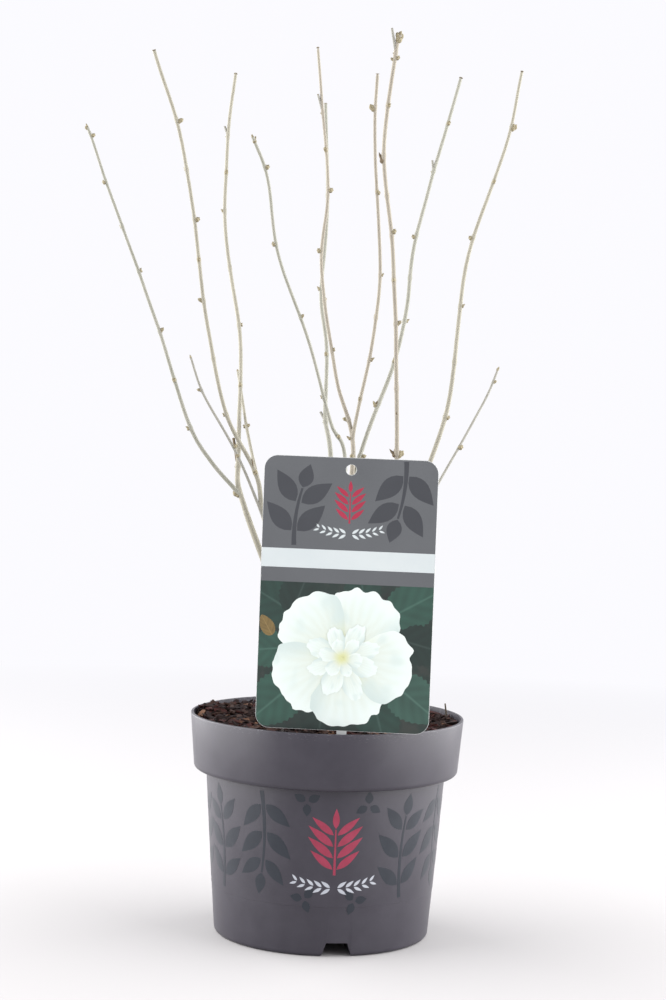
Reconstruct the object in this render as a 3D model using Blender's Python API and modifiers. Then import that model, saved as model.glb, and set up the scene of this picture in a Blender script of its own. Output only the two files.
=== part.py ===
"""Rose of Sharon in its nursery pot, in winter: bare shoots on a short woody base.

Metres, +Z up. The origin is the middle of the pot's underside, +X is to the right
of somebody who looks at the label card, and +Y is away from them.
"""
import math
import random
from dataclasses import dataclass

import bmesh
import bpy
from mathutils import Matrix, Vector, noise

MM = 0.001
GAP = 0.3 * MM  # between two pieces that touch
SEED = 19

# Pot, a 19 cm round one with a deep collar
POT_SIDES = 60
POT_HEIGHT = 152.3 * MM
RIM_RADIUS = 95.0 * MM
COLLAR_HEIGHT = 38.6 * MM
COLLAR_FOOT_RADIUS = 92.0 * MM
COLLAR_ROUND = 3.0 * MM
BODY_TOP_RADIUS = 83.1 * MM
BODY_FOOT_RADIUS = 74.8 * MM
FOOT_ROUND = 3.0 * MM
LIP_ROUND = 0.4 * MM
WALL = 1.8 * MM
FLOOR = 2.2 * MM
ROUND_STEPS = 3
OVERCUT = 5.0 * MM  # how far a cutter stands out of what it cuts

# Drain channels under the pot, each with one hole through its roof
CHANNELS = 3
FIRST_CHANNEL = -81.4  # degrees round the pot, 0 at +X
CHANNEL_FOOT_WIDTH = 22.0 * MM
CHANNEL_ROOF_WIDTH = 14.4 * MM
CHANNEL_HEIGHT = 9.4 * MM
CHANNEL_START = 26.0 * MM
DRAIN_HOLE_RADIUS = 3.5 * MM
DRAIN_HOLE_PLACE = 56.0 * MM
DRAIN_HOLE_SIDES = 12

# Soil, nearly up to the rim
SOIL_LEVEL = 147.8 * MM
SOIL_RINGS = 11
SEAT_RADIUS = 17.0 * MM
LUMP_SIZE = 9.0 * MM
LUMP_HEIGHT = 1.6 * MM
HEAP_CENTRE = Vector((-80.0 * MM, 20.0 * MM))
HEAP_RADIUS = 20.0 * MM
HEAP_HEIGHT = 4.2 * MM

# Label card on its stake
CARD_WIDTH = 114.6 * MM
CARD_HEIGHT = 180.3 * MM
CARD_THICK = 0.8 * MM
CARD_CORNER = 9.0 * MM
CARD_FOOT = Vector((9.7 * MM, -84.0 * MM, 153.4 * MM))
CARD_ROLL = 0.3  # degrees, the right side down
CARD_TURN = -3.6  # degrees, the right side to the front
HANG_HOLE_RADIUS = 3.4 * MM
HANG_HOLE_DROP = 8.0 * MM
HANG_HOLE_SIDES = 20
STAKE_WIDTH = 6.5 * MM
STAKE_LENGTH = 35.0 * MM
STAKE_POINT = 8.0 * MM
ARC_STEPS = 5

# Trunk, from its flat cut on the soil to its fork
TRUNK_FOOT = SOIL_LEVEL + GAP
TRUNK_HEIGHT = 27.0 * MM
TRUNK_RADIUS = 8.0 * MM
TRUNK_LEAN = Vector((-2.0 * MM, 1.0 * MM, 0.0))
FLARE_RADIUS = 12.5 * MM
FLARE_HEIGHT = 10.0 * MM
FLARE_LOBES = 5
FLARE_LOBE_DEPTH = 0.10
TRUNK_DOME = ((0.6, 0.12), (0.9, 0.5))  # shares of its radius, out from its axis and down from its top
FLARE_STEPS = 4
TRUNK_SIDES = 30
ARM_FOOT = 158.0 * MM
ARM_REACH = 9.5 * MM
ARM_HEART = 0.35  # the share of the reach at which an arm starts inside the trunk
ARM_BEND = 172.0 * MM
ARM_END = 182.0 * MM

# Shoots
LIMB_SIDES = 8
TWIG_SIDES = 6
CURVE_STEPS = 10
KINK = 0.45 * MM  # how far a joint stands out to its bud's side
SWELL = 1.22  # a joint is this much thicker than the shoot
SWELL_LENGTH = 2.4 * MM
END_RING = 1.2 * MM
ARM_RINGS = 4.0 * MM
JOINT_SPACING = 52.0 * MM  # a longer stretch has one more joint, with a bud to the front or the back
WAIST = 0.25  # share of the way up a leader at which its fast taper ends
WAIST_WIDTH = 0.9  # its width there, as a share of the mean of its foot's and its tip's
AIM = 2.0 * MM  # how far up and down a limb its direction is taken
BUD_LENGTH = 2.6 * MM
BUD_RADIUS = 1.05 * MM
BUD_SIDES = 5
BUD_RISE = 35.0  # degrees above level
BUD_TURN = 25.0  # degrees, the most that a bud turns off its side
BUD_TAPER = 0.45
BUD_ROOT = 0.5 * MM  # a bud's radius besides half of its shoot's
TIP_ROOT = 0.6 * MM
STUB_TAPER = 0.75
CLEAR_OF_FORK = 5.0 * MM
CLEAR_OF_FOOT = 2.0 * MM
SHARP_EDGE = 40.0  # degrees


@dataclass(frozen=True)
class Shoot:
    """A shoot, in millimetres: where it bends, seen from the front, and how deep it stands.

    bends are (x, height) pairs from foot to tip. depths are y at the foot and at the tip.
    A bud is its height, below 0 on the left side. A stub is a short pruned twig: its height, its
    length and its rise in degrees from level.
    """

    bends: tuple
    depths: tuple
    widths: tuple
    buds: tuple = ()
    stubs: tuple = ()
    leaves_at: float = 0.0  # height on the stem that it branches from


@dataclass(frozen=True)
class Stem:
    """A main stem from the trunk: its arm's bearing in degrees, its leader and its branches."""

    bearing: float
    arm_width: float
    leader: Shoot
    branches: tuple = ()


STEMS = {
    "left_outer": Stem(
        bearing=168.0,
        arm_width=4.8,
        leader=Shoot(
            bends=((-61, 292), (-68, 330), (-70, 408), (-84, 490), (-85, 565), (-82, 607)),
            depths=(-4, 88),
            widths=(4.2, 2.5),
            buds=(336, 422, -504),
            stubs=((-323, 21, 80), (-560, 8, 68)),
        ),
        branches=(
            Shoot(
                bends=((-86, 326), (-102, 353), (-124, 416), (-149, 483), (-168, 534), (-174, 549)),
                depths=(-4, -45),
                widths=(3.1, 1.9),
                buds=(-349, 414, 454, -513, 544),
                leaves_at=303,
            ),
        ),
    ),
    "left_inner": Stem(
        bearing=208.0,
        arm_width=4.4,
        leader=Shoot(
            bends=((-46, 281), (-54, 318), (-75, 359), (-89, 417), (-107, 530), (-128, 597)),
            depths=(-12, -70),
            widths=(3.8, 2.5),
            buds=(-359, -435, 489, 553),
        ),
        branches=(
            Shoot(
                bends=((-60, 340), (-72, 390)),
                depths=(-12, 45),
                widths=(2.4, 2.1),
                buds=(-351,),
                leaves_at=314,
            ),
            Shoot(
                bends=((-67, 331), (-90, 371), (-100, 397)),
                depths=(-14, -40),
                widths=(2.3, 1.7),
                buds=(-375,),
                leaves_at=287,
            ),
        ),
    ),
    "front": Stem(
        bearing=278.0,
        arm_width=4.0,
        leader=Shoot(
            bends=((7, 320), (-4, 356), (-19, 405), (-41, 463), (-50, 512), (-60, 538)),
            depths=(-26, -105),
            widths=(2.8, 2.1),
            buds=(-373, 425, -472, 520),
        ),
    ),
    "centre": Stem(
        bearing=40.0,
        arm_width=5.0,
        leader=Shoot(
            bends=((11, 304), (11, 348), (-2, 389), (-14, 463), (-12, 525), (-22, 620)),
            depths=(6, 40),
            widths=(4.0, 2.1),
            buds=(-358, 406, -476, 519),
            stubs=((-574, 13, 80),),
        ),
        branches=(
            Shoot(
                bends=((26, 445), (20, 544), (20, 593)),
                depths=(6, -25),
                widths=(2.7, 2.4),
                buds=(400, 458, -571),
                leaves_at=345,
            ),
            Shoot(
                bends=((19, 341), (38, 395), (47, 440), (53, 491), (82, 608)),
                depths=(7, 80),
                widths=(3.4, 2.6),
                buds=(332, -370, 429, -491),
                stubs=((-538, 8, 68),),
                leaves_at=310,
            ),
        ),
    ),
    "back": Stem(
        bearing=105.0,
        arm_width=4.2,
        leader=Shoot(
            bends=((-3, 318), (-8, 360), (-9, 408), (-14, 447), (-12, 514), (-16, 591)),
            depths=(30, 115),
            widths=(3.8, 2.5),
            buds=(-451,),
            stubs=((-356, 8, 68),),
        ),
    ),
    "right": Stem(
        bearing=345.0,
        arm_width=5.2,
        leader=Shoot(
            bends=((43, 254), (42, 338), (35, 460), (26, 538), (31, 601), (34, 615)),
            depths=(-6, -55),
            widths=(4.4, 2.8),
            buds=(424, -324, 483, -536, 601, -337, 336),
            stubs=((-603, 16, 72),),
        ),
        branches=(
            Shoot(
                bends=((76, 368), (86, 466), (111, 551), (121, 604)),
                depths=(-6, 15),
                widths=(3.8, 2.2),
                buds=(362, 439, -487, 565),
                leaves_at=273,
            ),
            Shoot(
                bends=((76, 321), (104, 372), (115, 398)),
                depths=(-6, 62),
                widths=(2.2, 1.9),
                buds=(341, 388),
                leaves_at=260,
            ),
        ),
    ),
}


def clear_scene():
    """Remove the objects of the scene that the script starts in."""
    for item in list(bpy.data.objects):
        bpy.data.objects.remove(item, do_unlink=True)


def new_collection(name):
    """A collection under the scene's own."""
    group = bpy.data.collections.new(name)
    bpy.context.scene.collection.children.link(group)
    return group


def plain_material(name, colour, roughness):
    """A Principled material of one colour, linear RGB."""
    material = bpy.data.materials.new(name)
    material.use_nodes = True
    shader = material.node_tree.nodes["Principled BSDF"]
    shader.inputs["Base Color"].default_value = (*colour, 1.0)
    shader.inputs["Roughness"].default_value = roughness
    return material


def add_object(name, data, group):
    """An object on its data, linked to a collection."""
    item = bpy.data.objects.new(name, data)
    group.objects.link(item)
    return item


def as_mesh(item):
    """Replace an object by a mesh object of its evaluated shape, with its doubles welded."""
    graph = bpy.context.evaluated_depsgraph_get()
    mesh = bpy.data.meshes.new_from_object(item.evaluated_get(graph))
    shape = bmesh.new()
    shape.from_mesh(mesh)
    bmesh.ops.remove_doubles(shape, verts=shape.verts, dist=0.001 * MM)
    shape.to_mesh(mesh)
    shape.free()
    name = item.name
    group = item.users_collection[0]
    place = item.matrix_world.copy()
    bpy.data.objects.remove(item, do_unlink=True)
    solid = add_object(name, mesh, group)
    solid.matrix_world = place
    return solid


def cut(item, cutter):
    """Take the cutter's shape out of an object."""
    modifier = item.modifiers.new("Cut " + cutter.name, "BOOLEAN")
    modifier.operation = "DIFFERENCE"
    modifier.object = cutter
    cutter.hide_render = True
    cutter.display_type = "WIRE"


def fuse(item, pieces):
    """Join the pieces, each a mesh object, to an object by one union, and remove them."""
    group = new_collection(item.name + " pieces")
    for piece in pieces:
        piece.users_collection[0].objects.unlink(piece)
        group.objects.link(piece)
    modifier = item.modifiers.new("Fuse", "BOOLEAN")
    modifier.operation = "UNION"
    modifier.operand_type = "COLLECTION"
    modifier.collection = group
    bpy.context.view_layer.update()
    solid = as_mesh(item)
    for piece in list(group.objects):
        bpy.data.objects.remove(piece, do_unlink=True)
    bpy.data.collections.remove(group)
    return solid


def turned(name, profile, sides, group):
    """A solid turned round Z from (radius, height) points that run down its outer side."""
    mesh = bpy.data.meshes.new(name)
    shape = bmesh.new()
    points = [shape.verts.new((radius, 0.0, height)) for radius, height in profile]
    for start, end in zip(points, points[1:]):
        shape.edges.new((start, end))
    shape.to_mesh(mesh)
    shape.free()
    item = add_object(name, mesh, group)
    screw = item.modifiers.new("Turn", "SCREW")
    screw.steps = sides
    screw.render_steps = sides
    screw.use_merge_vertices = True
    screw.merge_threshold = 0.01 * MM
    return item


def quarter(centre_radius, centre_height, radius, start):
    """Points of a quarter circle in a profile, from the angle start down to start - 90."""
    middle = Vector((centre_radius, centre_height))
    angles = [math.radians(start - 90.0 * i / ROUND_STEPS) for i in range(ROUND_STEPS + 1)]
    return [middle + radius * Vector((math.cos(a), math.sin(a))) for a in angles]


COLLAR_FOOT = POT_HEIGHT - COLLAR_HEIGHT
SHELF = COLLAR_FOOT + WALL


def bore_radius(height):
    """Inner radius of the pot's wall at a height, in its body or in its collar."""
    if height < SHELF:
        part = height / COLLAR_FOOT
        return BODY_FOOT_RADIUS + part * (BODY_TOP_RADIUS - BODY_FOOT_RADIUS) - WALL
    part = (height - COLLAR_FOOT) / COLLAR_HEIGHT
    return COLLAR_FOOT_RADIUS + part * (RIM_RADIUS - COLLAR_FOOT_RADIUS) - WALL


def bore_profile(top, inset):
    """Outline of the pot's inside up to a height, drawn in by the inset, top to bottom."""
    shelf = SHELF + inset
    floor = FLOOR + inset
    corner = COLLAR_ROUND - WALL
    return [
        (bore_radius(top) - inset, top),
        (bore_radius(shelf + corner) - inset, shelf + corner),
        (bore_radius(shelf + corner) - inset - corner, shelf),
        (bore_radius(SHELF - WALL) - inset, shelf),
        (bore_radius(floor) - inset, floor),
        (0.0, floor),
    ]


def channel_block(name, margin, group):
    """A drain channel's prism along +X, larger all round by the margin, open to the outside."""
    end = RIM_RADIUS
    start = CHANNEL_START - margin
    bpy.ops.mesh.primitive_cube_add(size=1.0)
    block = bpy.context.object
    block.name = name
    for vertex in block.data.vertices:
        roof = vertex.co.z > 0
        below = CHANNEL_FOOT_WIDTH + (CHANNEL_FOOT_WIDTH - CHANNEL_ROOF_WIDTH) * OVERCUT / CHANNEL_HEIGHT
        width = (CHANNEL_ROOF_WIDTH if roof else below) + 2 * margin
        vertex.co.x = end if vertex.co.x > 0 else start
        vertex.co.y = math.copysign(width / 2, vertex.co.y)
        vertex.co.z = CHANNEL_HEIGHT + margin if roof else -OVERCUT
    for owner in list(block.users_collection):
        owner.objects.unlink(block)
    group.objects.link(block)
    return block


def channel_blocks(name, margin, group):
    """The prisms of all the drain channels, each turned to its place."""
    blocks = []
    for i in range(CHANNELS):
        block = channel_block(f"{name} {i + 1}", margin, group)
        block.rotation_euler.z = math.radians(FIRST_CHANNEL + i * 360.0 / CHANNELS)
        blocks.append(block)
    return blocks


def drain_holes(group):
    """Short pins that cut the hole in each channel's roof."""
    pins = []
    for i in range(CHANNELS):
        angle = math.radians(FIRST_CHANNEL + i * 360.0 / CHANNELS)
        place = (DRAIN_HOLE_PLACE * math.cos(angle), DRAIN_HOLE_PLACE * math.sin(angle), CHANNEL_HEIGHT)
        bpy.ops.mesh.primitive_cylinder_add(
            vertices=DRAIN_HOLE_SIDES, radius=DRAIN_HOLE_RADIUS, depth=OVERCUT, location=place
        )
        pin = bpy.context.object
        pin.name = f"Drain hole {i + 1}"
        for owner in list(pin.users_collection):
            owner.objects.unlink(pin)
        group.objects.link(pin)
        pins.append(pin)
    return pins


def build_pot(group, cutters):
    """The pot: one turned wall with a collar, a floor and drain channels let into its underside."""
    outside = [
        (0.0, POT_HEIGHT),
        (RIM_RADIUS - LIP_ROUND, POT_HEIGHT),
        (RIM_RADIUS, POT_HEIGHT - LIP_ROUND),
        *quarter(COLLAR_FOOT_RADIUS - COLLAR_ROUND, COLLAR_FOOT + COLLAR_ROUND, COLLAR_ROUND, 0.0),
        (BODY_TOP_RADIUS, COLLAR_FOOT),
        *quarter(BODY_FOOT_RADIUS - FOOT_ROUND, FOOT_ROUND, FOOT_ROUND, 0.0),
        (0.0, 0.0),
    ]
    pot = turned("pot", outside, POT_SIDES, group)
    top = POT_HEIGHT + OVERCUT
    inside = [(0.0, top), *bore_profile(top, 0.0)]
    bore = turned("Pot bore", inside, POT_SIDES, cutters)
    for rib in channel_blocks("Rib", WALL, cutters):
        cut(bore, rib)
    cut(pot, bore)
    for channel in channel_blocks("Channel", 0.0, cutters):
        cut(pot, channel)
    for pin in drain_holes(cutters):
        cut(pot, pin)
    return pot


def soil_height(x, y):
    """Height of the soil at a place: lumps of bark, a heap at the back left, a flat seat."""
    place = Vector((x, y))
    lump = noise.noise(Vector((x, y, 0.0)) / LUMP_SIZE) * LUMP_HEIGHT
    heap = HEAP_HEIGHT * math.exp(-(((place - HEAP_CENTRE).length / HEAP_RADIUS) ** 2))
    away = min(1.0, max(0.0, (place.length - SEAT_RADIUS) / LUMP_SIZE))
    return SOIL_LEVEL + away * (lump + heap)


def build_soil(group, cutters):
    """The soil that fills the pot, clear of its wall, with a slot for the card's stake."""
    edge = bore_radius(SOIL_LEVEL) - GAP
    rings = [SEAT_RADIUS + (edge - SEAT_RADIUS) * i / SOIL_RINGS for i in range(SOIL_RINGS)]
    top = [(0.0, SOIL_LEVEL), *((ring, SOIL_LEVEL) for ring in rings)]
    soil = turned("soil", [*top, *bore_profile(SOIL_LEVEL, GAP)], POT_SIDES, group)
    soil = as_mesh(soil)
    for vertex in soil.data.vertices:
        if vertex.co.z > SOIL_LEVEL - 0.1 * MM:
            vertex.co.z = soil_height(vertex.co.x, vertex.co.y)
            reach = Vector((vertex.co.x, vertex.co.y)).length
            wall = (bore_radius(vertex.co.z) - GAP) if reach > edge - MM else reach
            vertex.co.x *= wall / max(reach, MM)
            vertex.co.y *= wall / max(reach, MM)
    for rib in channel_blocks("Soil rib", WALL + GAP, cutters):
        cut(soil, rib)
    slot = flat_plate("Stake slot", [stake_outline(GAP)], CARD_THICK + 2 * GAP, cutters)
    cut(soil, slot)
    return soil


def arc(centre, radius, start, turn, steps):
    """Points on an arc round a centre, in degrees."""
    angles = [math.radians(start + turn * i / steps) for i in range(steps + 1)]
    return [centre + radius * Vector((math.cos(a), math.sin(a))) for a in angles]


def stake_outline(margin):
    """Outline of the stake, from the card's foot down to its point, larger by the margin."""
    half = STAKE_WIDTH / 2 + margin
    shoulder = -(STAKE_LENGTH - STAKE_POINT)
    tip = -STAKE_LENGTH - margin
    return [
        Vector((-half, CARD_THICK)),
        Vector((-half, shoulder)),
        Vector((-half / 2, tip)),
        Vector((half / 2, tip)),
        Vector((half, shoulder)),
        Vector((half, CARD_THICK)),
    ]


def card_outline():
    """Outline of the card with its rounded corners and its stake."""
    side = CARD_WIDTH / 2 - CARD_CORNER
    top = CARD_HEIGHT - CARD_CORNER
    corners = ((side, CARD_CORNER, -90), (side, top, 0), (-side, top, 90), (-side, CARD_CORNER, 180))
    outline = []
    for x, y, start in corners:
        outline += arc(Vector((x, y)), CARD_CORNER, start, 90.0, ARC_STEPS)
    stake = stake_outline(0.0)
    stake[0].y = 0.0
    stake[-1].y = 0.0
    return outline + stake


def flat_plate(name, outlines, thickness, group):
    """A plate standing at the card's place, cut from outlines in the plane of the card."""
    curve = bpy.data.curves.new(name, "CURVE")
    curve.dimensions = "2D"
    curve.fill_mode = "BOTH"
    curve.extrude = thickness / 2
    for outline in outlines:
        spline = curve.splines.new("POLY")
        spline.points.add(len(outline) - 1)
        for point, place in zip(spline.points, outline):
            point.co = (place.x, place.y, 0.0, 1.0)
        spline.use_cyclic_u = True
    item = add_object(name, curve, group)
    item.location = CARD_FOOT
    item.rotation_euler = [math.radians(angle) for angle in (90.0, CARD_ROLL, CARD_TURN)]
    bpy.context.view_layer.update()
    return as_mesh(item)


def build_card(group):
    """The label card, one sheet with its stake, and the round hole that it hangs by."""
    middle = Vector((0.0, CARD_HEIGHT - HANG_HOLE_DROP))
    around = 360.0 * (1.0 - 1.0 / HANG_HOLE_SIDES)
    hole = arc(middle, HANG_HOLE_RADIUS, 0.0, around, HANG_HOLE_SIDES - 1)
    return flat_plate("label_card", [card_outline(), hole], CARD_THICK, group)


def smooth_line(stations):
    """Points on a smooth curve through the stations."""
    first = 2 * stations[0] - stations[1]
    last = 2 * stations[-1] - stations[-2]
    guides = [first, *stations, last]
    points = []
    for before, start, end, after in zip(guides, guides[1:], guides[2:], guides[3:]):
        for i in range(CURVE_STEPS):
            t = i / CURVE_STEPS
            bend = (2 * before - 5 * start + 4 * end - after) * t**2
            twist = (3 * start - before - 3 * end + after) * t**3
            points.append(0.5 * (2 * start + (end - before) * t + bend + twist))
    points.append(stations[-1])
    return points


class Limb:
    """A limb as a smooth line that rises all the way, with its width and its joints."""

    def __init__(self, stations, widths, joints):
        """stations are places, widths are (height, width) pairs, joints are (height, side)."""
        self.line = smooth_line(stations)
        self.widths = widths
        self.joints = sorted(joints, key=lambda joint: joint[0])
        self.foot = stations[0].z
        self.tip = stations[-1].z

    def centre(self, height):
        """The line's place at a height, before the joints bend it."""
        for start, end in zip(self.line, self.line[1:]):
            if end.z >= height:
                return start.lerp(end, (height - start.z) / (end.z - start.z))
        return self.line[-1].copy()

    def place(self, height):
        """The limb's middle at a height: its line, drawn to the side of the nearest joint."""
        point = self.centre(height)
        for joint, side in self.joints:
            near = max(0.0, 1.0 - abs(height - joint) / (0.5 * JOINT_SPACING))
            point += side * KINK * near
        return point

    def direction(self, height):
        """The way the limb points at a height."""
        low = max(self.foot, height - AIM)
        high = min(self.tip, height + AIM)
        return (self.centre(high) - self.centre(low)).normalized()

    def radius(self, height):
        """Half the limb's width at a height."""
        for (low, wide), (high, narrow) in zip(self.widths, self.widths[1:]):
            if height <= high:
                part = max(0.0, (height - low) / (high - low))
                return 0.5 * (wide + part * (narrow - wide))
        return 0.5 * self.widths[-1][1]

    def rings(self, low, high, step):
        """Heights and radii of the tube's rings between two heights, close at its ends and joints."""
        ends = [low, low + END_RING, high - END_RING, high]
        marks = [low + step * i for i in range(1, int((high - low) / step) + 1)]
        swollen = [h for h, _ in self.joints if low + 2 * SWELL_LENGTH < h < high - 2 * SWELL_LENGTH]
        marks = [m for m in marks if all(abs(m - h) > 2 * SWELL_LENGTH for h in (*ends, *swollen))]
        rings = [(mark, self.radius(mark)) for mark in (*ends, *marks)]
        for height in swollen:
            rings.append((height - SWELL_LENGTH, self.radius(height)))
            rings.append((height, SWELL * self.radius(height)))
            rings.append((height + SWELL_LENGTH, self.radius(height)))
        return sorted(rings)

    def tube(self, name, low, high, sides, group, step=0.5 * JOINT_SPACING):
        """The limb between two heights as a closed solid, with a ring at least each step."""
        curve = bpy.data.curves.new(name, "CURVE")
        curve.dimensions = "3D"
        curve.bevel_depth = MM
        curve.bevel_resolution = sides // 2 - 2
        curve.use_fill_caps = True
        rings = self.rings(low, high, step)
        spline = curve.splines.new("POLY")
        spline.points.add(len(rings) - 1)
        for point, (height, radius) in zip(spline.points, rings):
            point.co = (*self.place(height), 1.0)
            point.radius = radius / MM
        return as_mesh(add_object(name, curve, group))


def front_view_places(shoot, first=None):
    """The places where a shoot bends. Its depth goes evenly from foot to tip."""
    low = shoot.leaves_at or shoot.bends[0][1]
    high = shoot.bends[-1][1]
    start, end = shoot.depths
    if first:
        start = first.y / MM
    places = [first] if first else []
    for x, height in shoot.bends:
        depth = start + (end - start) * (height - low) / (high - low)
        places.append(Vector((x, depth, height)) * MM)
    return places


def joints_of(shoot, low):
    """Joints of a shoot above a height: one at each bud, and one more in each long stretch."""
    growths = (*shoot.buds, *(stub[0] for stub in shoot.stubs))
    sided = [(abs(growth), math.copysign(1.0, growth)) for growth in growths]
    joints = [(height * MM, Vector((side, 0.0, 0.0))) for height, side in sided]
    marks = sorted([low, *(height for height, _ in joints), shoot.bends[-1][1] * MM])
    facing = -1.0
    for start, end in zip(marks, marks[1:]):
        if end - start > JOINT_SPACING:
            joints.append((0.5 * (start + end), Vector((0.0, facing, 0.0))))
            facing = -facing
    return joints


def peg(name, foot, direction, length, radius, tip_radius, group):
    """A small tapered peg from a place, for a bud or a stub."""
    shape = bmesh.new()
    turn = Vector((0.0, 0.0, 1.0)).rotation_difference(direction).to_matrix().to_4x4()
    place = Matrix.Translation(foot) @ turn @ Matrix.Translation((0.0, 0.0, length / 2))
    bmesh.ops.create_cone(
        shape,
        segments=BUD_SIDES,
        radius1=radius,
        radius2=tip_radius,
        depth=length,
        cap_ends=True,
        matrix=place,
    )
    mesh = bpy.data.meshes.new(name)
    shape.to_mesh(mesh)
    shape.free()
    return add_object(name, mesh, group)


def raised(side, up, degrees):
    """A direction that leaves a limb to one side and rises by some degrees."""
    across = (side - up * side.dot(up)).normalized()
    angle = math.radians(degrees)
    return across * math.cos(angle) + up * math.sin(angle)


def dress(limb, shoot, low, dice, group):
    """Buds at a shoot's joints and pruned stubs, as pegs rooted in its middle."""
    pegs = []
    stubs = {abs(height) * MM: (length * MM, rise) for height, length, rise in shoot.stubs}
    for height, side in limb.joints:
        if height < low + CLEAR_OF_FOOT:
            continue
        up = limb.direction(height)
        turn = Matrix.Rotation(math.radians(dice.uniform(-BUD_TURN, BUD_TURN)), 3, up)
        radius = limb.radius(height)
        length, rise = stubs.get(height, (BUD_LENGTH * dice.uniform(0.8, 1.15) + radius, BUD_RISE))
        way = raised(turn @ side, up, rise)
        thick = min(BUD_RADIUS, BUD_ROOT + 0.5 * radius)
        narrow = thick * (STUB_TAPER if height in stubs else BUD_TAPER)
        pegs.append(peg("Bud", limb.place(height), way, length, thick, narrow, group))
    end = limb.tip - TIP_ROOT
    root = limb.radius(end)
    way = limb.direction(end)
    pegs.append(peg("End bud", limb.place(end), way, BUD_LENGTH, root, BUD_TAPER * root, group))
    return pegs


def leader_limb(stem):
    """The line of a main stem, from inside the trunk through its arm to the leader's tip."""
    angle = math.radians(stem.bearing)
    out = Vector((math.cos(angle), math.sin(angle), 0.0))
    heart = TRUNK_LEAN + Vector((0.0, 0.0, ARM_FOOT)) + out * (ARM_HEART * ARM_REACH)
    bend = TRUNK_LEAN + Vector((0.0, 0.0, ARM_BEND)) + out * ARM_REACH
    stations = [heart, bend, *front_view_places(stem.leader)]
    first = stem.leader.bends[0][1] * MM
    tip = stations[-1].z
    wide, narrow = stem.leader.widths
    widths = [
        (ARM_FOOT, stem.arm_width * MM),
        (first, wide * MM),
        (first + WAIST * (tip - first), 0.5 * (wide + narrow) * WAIST_WIDTH * MM),
        (tip, narrow * MM),
    ]
    return Limb(stations, widths, joints_of(stem.leader, first))


def branch_limb(shoot, parent):
    """The line of a side shoot, from the middle of the stem that it branches from."""
    low = shoot.leaves_at * MM
    stations = front_view_places(shoot, parent.place(low))
    widths = [(low, shoot.widths[0] * MM), (stations[-1].z, shoot.widths[1] * MM)]
    return Limb(stations, widths, joints_of(shoot, low))


def build_mass(name, stem, leader, dice, group):
    """One mass of bare twigs: the leader above its bough, its side shoots, buds and stubs."""
    low = stem.leader.bends[0][1] * MM
    mass = leader.tube("twigs_" + name, low + GAP, leader.tip, TWIG_SIDES, group)
    pieces = dress(leader, stem.leader, low, dice, group)
    for shoot in stem.branches:
        limb = branch_limb(shoot, leader)
        pieces.append(limb.tube("Side shoot", limb.foot, limb.tip, TWIG_SIDES, group))
        pieces += dress(limb, shoot, limb.foot + CLEAR_OF_FORK, dice, group)
    return fuse(mass, pieces)


def trunk_profile():
    """Outline of the trunk: a domed top, a taper and a flare down to the flat cut."""
    top = TRUNK_FOOT + TRUNK_HEIGHT
    dome = [(TRUNK_RADIUS * out, top - TRUNK_RADIUS * down) for out, down in TRUNK_DOME]
    flare = []
    for i in range(FLARE_STEPS + 1):
        part = i / FLARE_STEPS
        spread = (FLARE_RADIUS - TRUNK_RADIUS) * part**2
        flare.append((TRUNK_RADIUS + spread, TRUNK_FOOT + FLARE_HEIGHT * (1 - part)))
    return [(0.0, top), *dome, *flare, (0.0, TRUNK_FOOT)]


def build_trunk(leaders, group):
    """The woody base with its flare and lean, and the short arms that the boughs go on from."""
    trunk = as_mesh(turned("trunk", trunk_profile(), TRUNK_SIDES, group))
    for vertex in trunk.data.vertices:
        rise = (vertex.co.z - TRUNK_FOOT) / TRUNK_HEIGHT
        flare = max(0.0, 1.0 - (vertex.co.z - TRUNK_FOOT) / FLARE_HEIGHT)
        lobe = math.cos(FLARE_LOBES * math.atan2(vertex.co.y, vertex.co.x))
        spread = 1.0 + FLARE_LOBE_DEPTH * flare * lobe
        vertex.co.x = vertex.co.x * spread + TRUNK_LEAN.x * rise
        vertex.co.y = vertex.co.y * spread + TRUNK_LEAN.y * rise
    span = (ARM_FOOT, ARM_END)
    arms = [limb.tube("Arm", *span, LIMB_SIDES, group, ARM_RINGS) for limb in leaders.values()]
    return fuse(trunk, arms)


def build_boughs(leaders, group):
    """Each bough from its arm on the trunk to the stem of its mass."""
    boughs = []
    for name, limb in leaders.items():
        end = STEMS[name].leader.bends[0][1] * MM
        boughs.append(limb.tube("bough_" + name, ARM_END + GAP, end, LIMB_SIDES, group))
    return boughs


def colour(items, name, rgb, roughness):
    """Give each object its own material, and shade it smooth but for its sharp edges."""
    for item in items:
        item.data.materials.clear()
        item.data.materials.append(plain_material(f"{name} {item.name}", rgb, roughness))
        item.data.shade_smooth()
        item.data.set_sharp_from_angle(angle=math.radians(SHARP_EDGE))


def main():
    """Build the pot, its soil and card, and the shrub from its trunk to its twigs."""
    clear_scene()
    dice = random.Random(SEED)
    plant = new_collection("Rose of Sharon")
    cutters = new_collection("Cutters")
    colour([build_pot(plant, cutters)], "Grey plastic", (0.10, 0.09, 0.10), 0.4)
    colour([build_soil(plant, cutters)], "Bark soil", (0.035, 0.018, 0.012), 0.95)
    colour([build_card(plant)], "Card", (0.08, 0.16, 0.11), 0.35)
    leaders = {name: leader_limb(stem) for name, stem in STEMS.items()}
    bark = (0.42, 0.37, 0.26)
    colour([build_trunk(leaders, plant)], "Old bark", (0.30, 0.25, 0.17), 0.85)
    colour(build_boughs(leaders, plant), "Bark", bark, 0.8)
    masses = [build_mass(name, STEMS[name], limb, dice, plant) for name, limb in leaders.items()]
    colour(masses, "Twig bark", bark, 0.75)


if __name__ == "__main__":
    main()
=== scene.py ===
"""The looks of a Rose of Sharon in its nursery pot in winter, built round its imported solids.

Metres, +Z up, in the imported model's own frame: the origin is under the middle of the pot, +X is to
the right of somebody who looks at the label card, and +Y is away from them.
"""

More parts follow.
